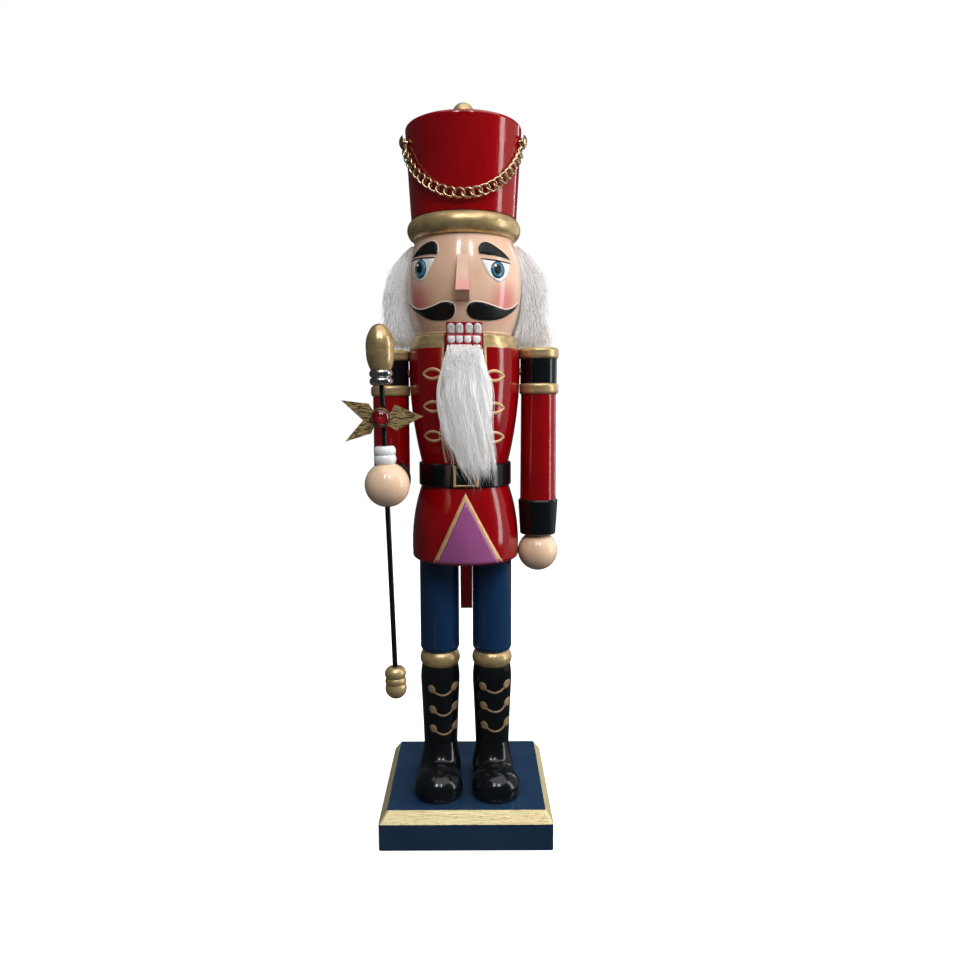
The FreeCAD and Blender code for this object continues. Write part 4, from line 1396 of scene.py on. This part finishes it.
# -------------------------------------------------------------- carried pieces
@dataclass
class Woodwork:
    """Finishes of the turned pieces that are shown as they are."""

    tins: dict[str, Tin] = field(default_factory=lambda: {
        "base_plinth": Tin.PLINTH, "leg_screws": Tin.STEEL, "shoe_": Tin.BLACK, "boot_shaft_": Tin.BLACK,
        "knee_band_": Tin.GOLD, "trouser_leg_": Tin.NAVY, "jacket_skirt": Tin.RED, "belt": Tin.BLACK,
        "torso": Tin.JACKET, "jaw_pin": Tin.STEEL, "jaw_lever": Tin.RED, "nose": Tin.NOSE, "head": Tin.FACE,
        "hat_brim_ring": Tin.GOLD, "hat_finial": Tin.GOLD, "hat_crown": Tin.RED, "chain_knob_": Tin.CHAIN,
        "shoulder_ring_": Tin.GOLD, "epaulette_band_": Tin.BLACK, "sleeve_": Tin.RED, "forearm_right": Tin.RED,
        "cuff_": Tin.BLACK, "hand_": Tin.HANDS, "staff_rod": Tin.BLACK, "staff_egg": Tin.EGG,
        "staff_silver_collar": Tin.SILVER, "staff_arrow_plate": Tin.PLATE, "staff_gem_bezel": Tin.BRONZE,
        "staff_gem": Tin.GEM, "staff_hand_collar": Tin.WHITE, "staff_foot_knob": Tin.GOLD,
    })

    def dress(self) -> None:
        """Give every node its finish; pegs and dowels stay bare wood."""
        for name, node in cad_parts.items():
            keys = [key for key in self.tins if name == key or (key.endswith("_") and name.startswith(key))]
            tin = self.tins[keys[0]] if keys else Tin.WOOD
            if "dowel" in name:
                tin = Tin.WOOD
            for slot in range(len(node.data.materials)):
                node.data.materials[slot] = tin.material
            LOG.info("%s: %s", name, tin.name)


# ----------------------------------------------------------------------- studio
@dataclass
class Studio:
    """Pale floor, soft lamps and the camera."""

    eye: tuple[float, float, float] = (0.0049, -0.4183, 0.2276)
    pitch_down: float = 0.115
    roll: float = -0.004
    lens: float = 29.095
    shift: Point2 = (0.00597, 0.01315)

    def build(self) -> None:
        """Set up the whole studio."""
        self._floor()
        self._world()
        self._camera()
        middle = (0.0, 0.0, 0.22)
        self._lamp("key_window_a", 1.6, (-0.16, -0.75, 0.95), (0.12, 0.28), middle)
        self._lamp("key_window_b", 1.2, (0.24, -0.75, 0.95), (0.10, 0.26), middle)
        self._lamp("key_soft", 4.9, (0.42, -0.74, 0.86), (0.5, 0.5), middle, False)
        self._lamp("right_strip", 1.1, (0.70, -0.11, 0.36), (0.13, 0.62), middle)
        self._lamp("far_streak", 0.3, (0.52, 0.55, 0.36), (0.04, 0.55), middle)
        self._lamp("right_glow", 0.45, (0.75, 0.30, 0.32), (0.7, 0.8), middle)
        self._lamp("right_panel", 6.5, (0.80, 0.10, 0.50), (0.7, 0.8), middle, False)
        self._lamp("left_fill", 0.05, (-0.8, -0.25, 0.4), (0.7, 0.7), middle, False)
        self._lamp("back_fill", 3.0, (-0.35, 0.95, 0.55), (0.9, 0.9), middle, False)
        self._lamp("overhead", 6.6, (0.20, -0.22, 1.25), (1.3, 1.3), middle)

    def _floor(self) -> None:
        """Plain pale floor."""
        half = 1.6
        corners = [(-half, -half), (half, -half), (half, half), (-half, half)]
        mesh = bpy.data.meshes.new("floor")
        mesh.from_pydata([(x, y, -0.0002) for x, y in corners], [], [(0, 1, 2, 3)])
        floor = bpy.data.objects.new("floor", mesh)
        bpy.context.scene.collection.objects.link(floor)
        s = Shader("floor_white")
        s.set(Base_Color=(0.9, 0.9, 0.9), Roughness=0.8, Emission_Color=(1.0, 1.0, 1.0), Emission_Strength=0.75)
        s.set(Specular_IOR_Level=0.1, Alpha=s.distance((0.0, 0.0, 0.0)).ramp(1500.0, 350.0))
        mesh.materials.append(s.material)
        floor.visible_glossy = False
        floor.visible_diffuse = False

    def _world(self) -> None:
        """White backdrop that lights the object only gently."""
        world = bpy.data.worlds.new("studio_world")
        world.use_nodes = True
        tree = world.node_tree
        tree.nodes.clear()
        seen = tree.nodes.new("ShaderNodeBackground")
        seen.inputs[0].default_value = (1.0, 1.0, 1.0, 1.0)
        seen.inputs[1].default_value = 1.0
        soft = tree.nodes.new("ShaderNodeBackground")
        soft.inputs[0].default_value = (0.93, 0.96, 1.0, 1.0)
        soft.inputs[1].default_value = 0.04
        fill = tree.nodes.new("ShaderNodeBackground")
        fill.inputs[0].default_value = (1.0, 0.98, 0.96, 1.0)
        fill.inputs[1].default_value = 0.14
        path = tree.nodes.new("ShaderNodeLightPath")
        output = tree.nodes.new("ShaderNodeOutputWorld")
        shown = soft
        for ray, light in (("Is Diffuse Ray", fill), ("Is Camera Ray", seen)):
            blend = tree.nodes.new("ShaderNodeMixShader")
            tree.links.new(path.outputs[ray], blend.inputs[0])
            tree.links.new(shown.outputs[0], blend.inputs[1])
            tree.links.new(light.outputs[0], blend.inputs[2])
            shown = blend
        tree.links.new(shown.outputs[0], output.inputs[0])
        bpy.context.scene.world = world
        bpy.context.scene.view_settings.view_transform = "Standard"

    def _camera(self) -> None:
        """Camera in front of the figure, tipped down a little."""
        lens = bpy.data.cameras.new("camera")
        lens.lens = self.lens
        lens.sensor_width = 36.0
        lens.shift_x, lens.shift_y = self.shift
        camera = bpy.data.objects.new("camera", lens)
        bpy.context.scene.collection.objects.link(camera)
        tip = Matrix.Rotation(math.pi / 2 - self.pitch_down, 4, "X")
        camera.matrix_world = Matrix.Translation(self.eye) @ tip @ Matrix.Rotation(self.roll, 4, "Z")
        bpy.context.scene.camera = camera

    @staticmethod
    def _lamp(name: str, watts: float, place: Point3, size: Point2, target: Point3, shiny: bool = True) -> None:
        """Add a soft rectangular lamp.

        Args:
            name: Lamp name.
            watts: Power.
            place: Where it stands, in metres.
            size: Width and height in metres.
            target: Point that it faces.
            shiny: Whether polished surfaces mirror it.
        """
        lamp = bpy.data.lights.new(name, "AREA")
        lamp.shape = "RECTANGLE"
        lamp.size, lamp.size_y = size
        lamp.energy = watts
        holder = bpy.data.objects.new(name, lamp)
        bpy.context.scene.collection.objects.link(holder)
        holder.visible_glossy = shiny
        facing = (Vector(target) - Vector(place)).to_track_quat("-Z", "Y")
        holder.matrix_world = Matrix.Translation(place) @ facing.to_matrix().to_4x4()


def main() -> None:
    """Build the nutcracker's looks in order."""
    logging.basicConfig(level=logging.INFO, format="%(message)s")
    Studio().build()
    Woodwork().dress()
    Face().paint()
    Jacket().paint()
    Boots().paint()
    Shoes().build()
    HatChain().build()
    Wig().build()
    Beard().build()


if __name__ == "__main__":
    main()
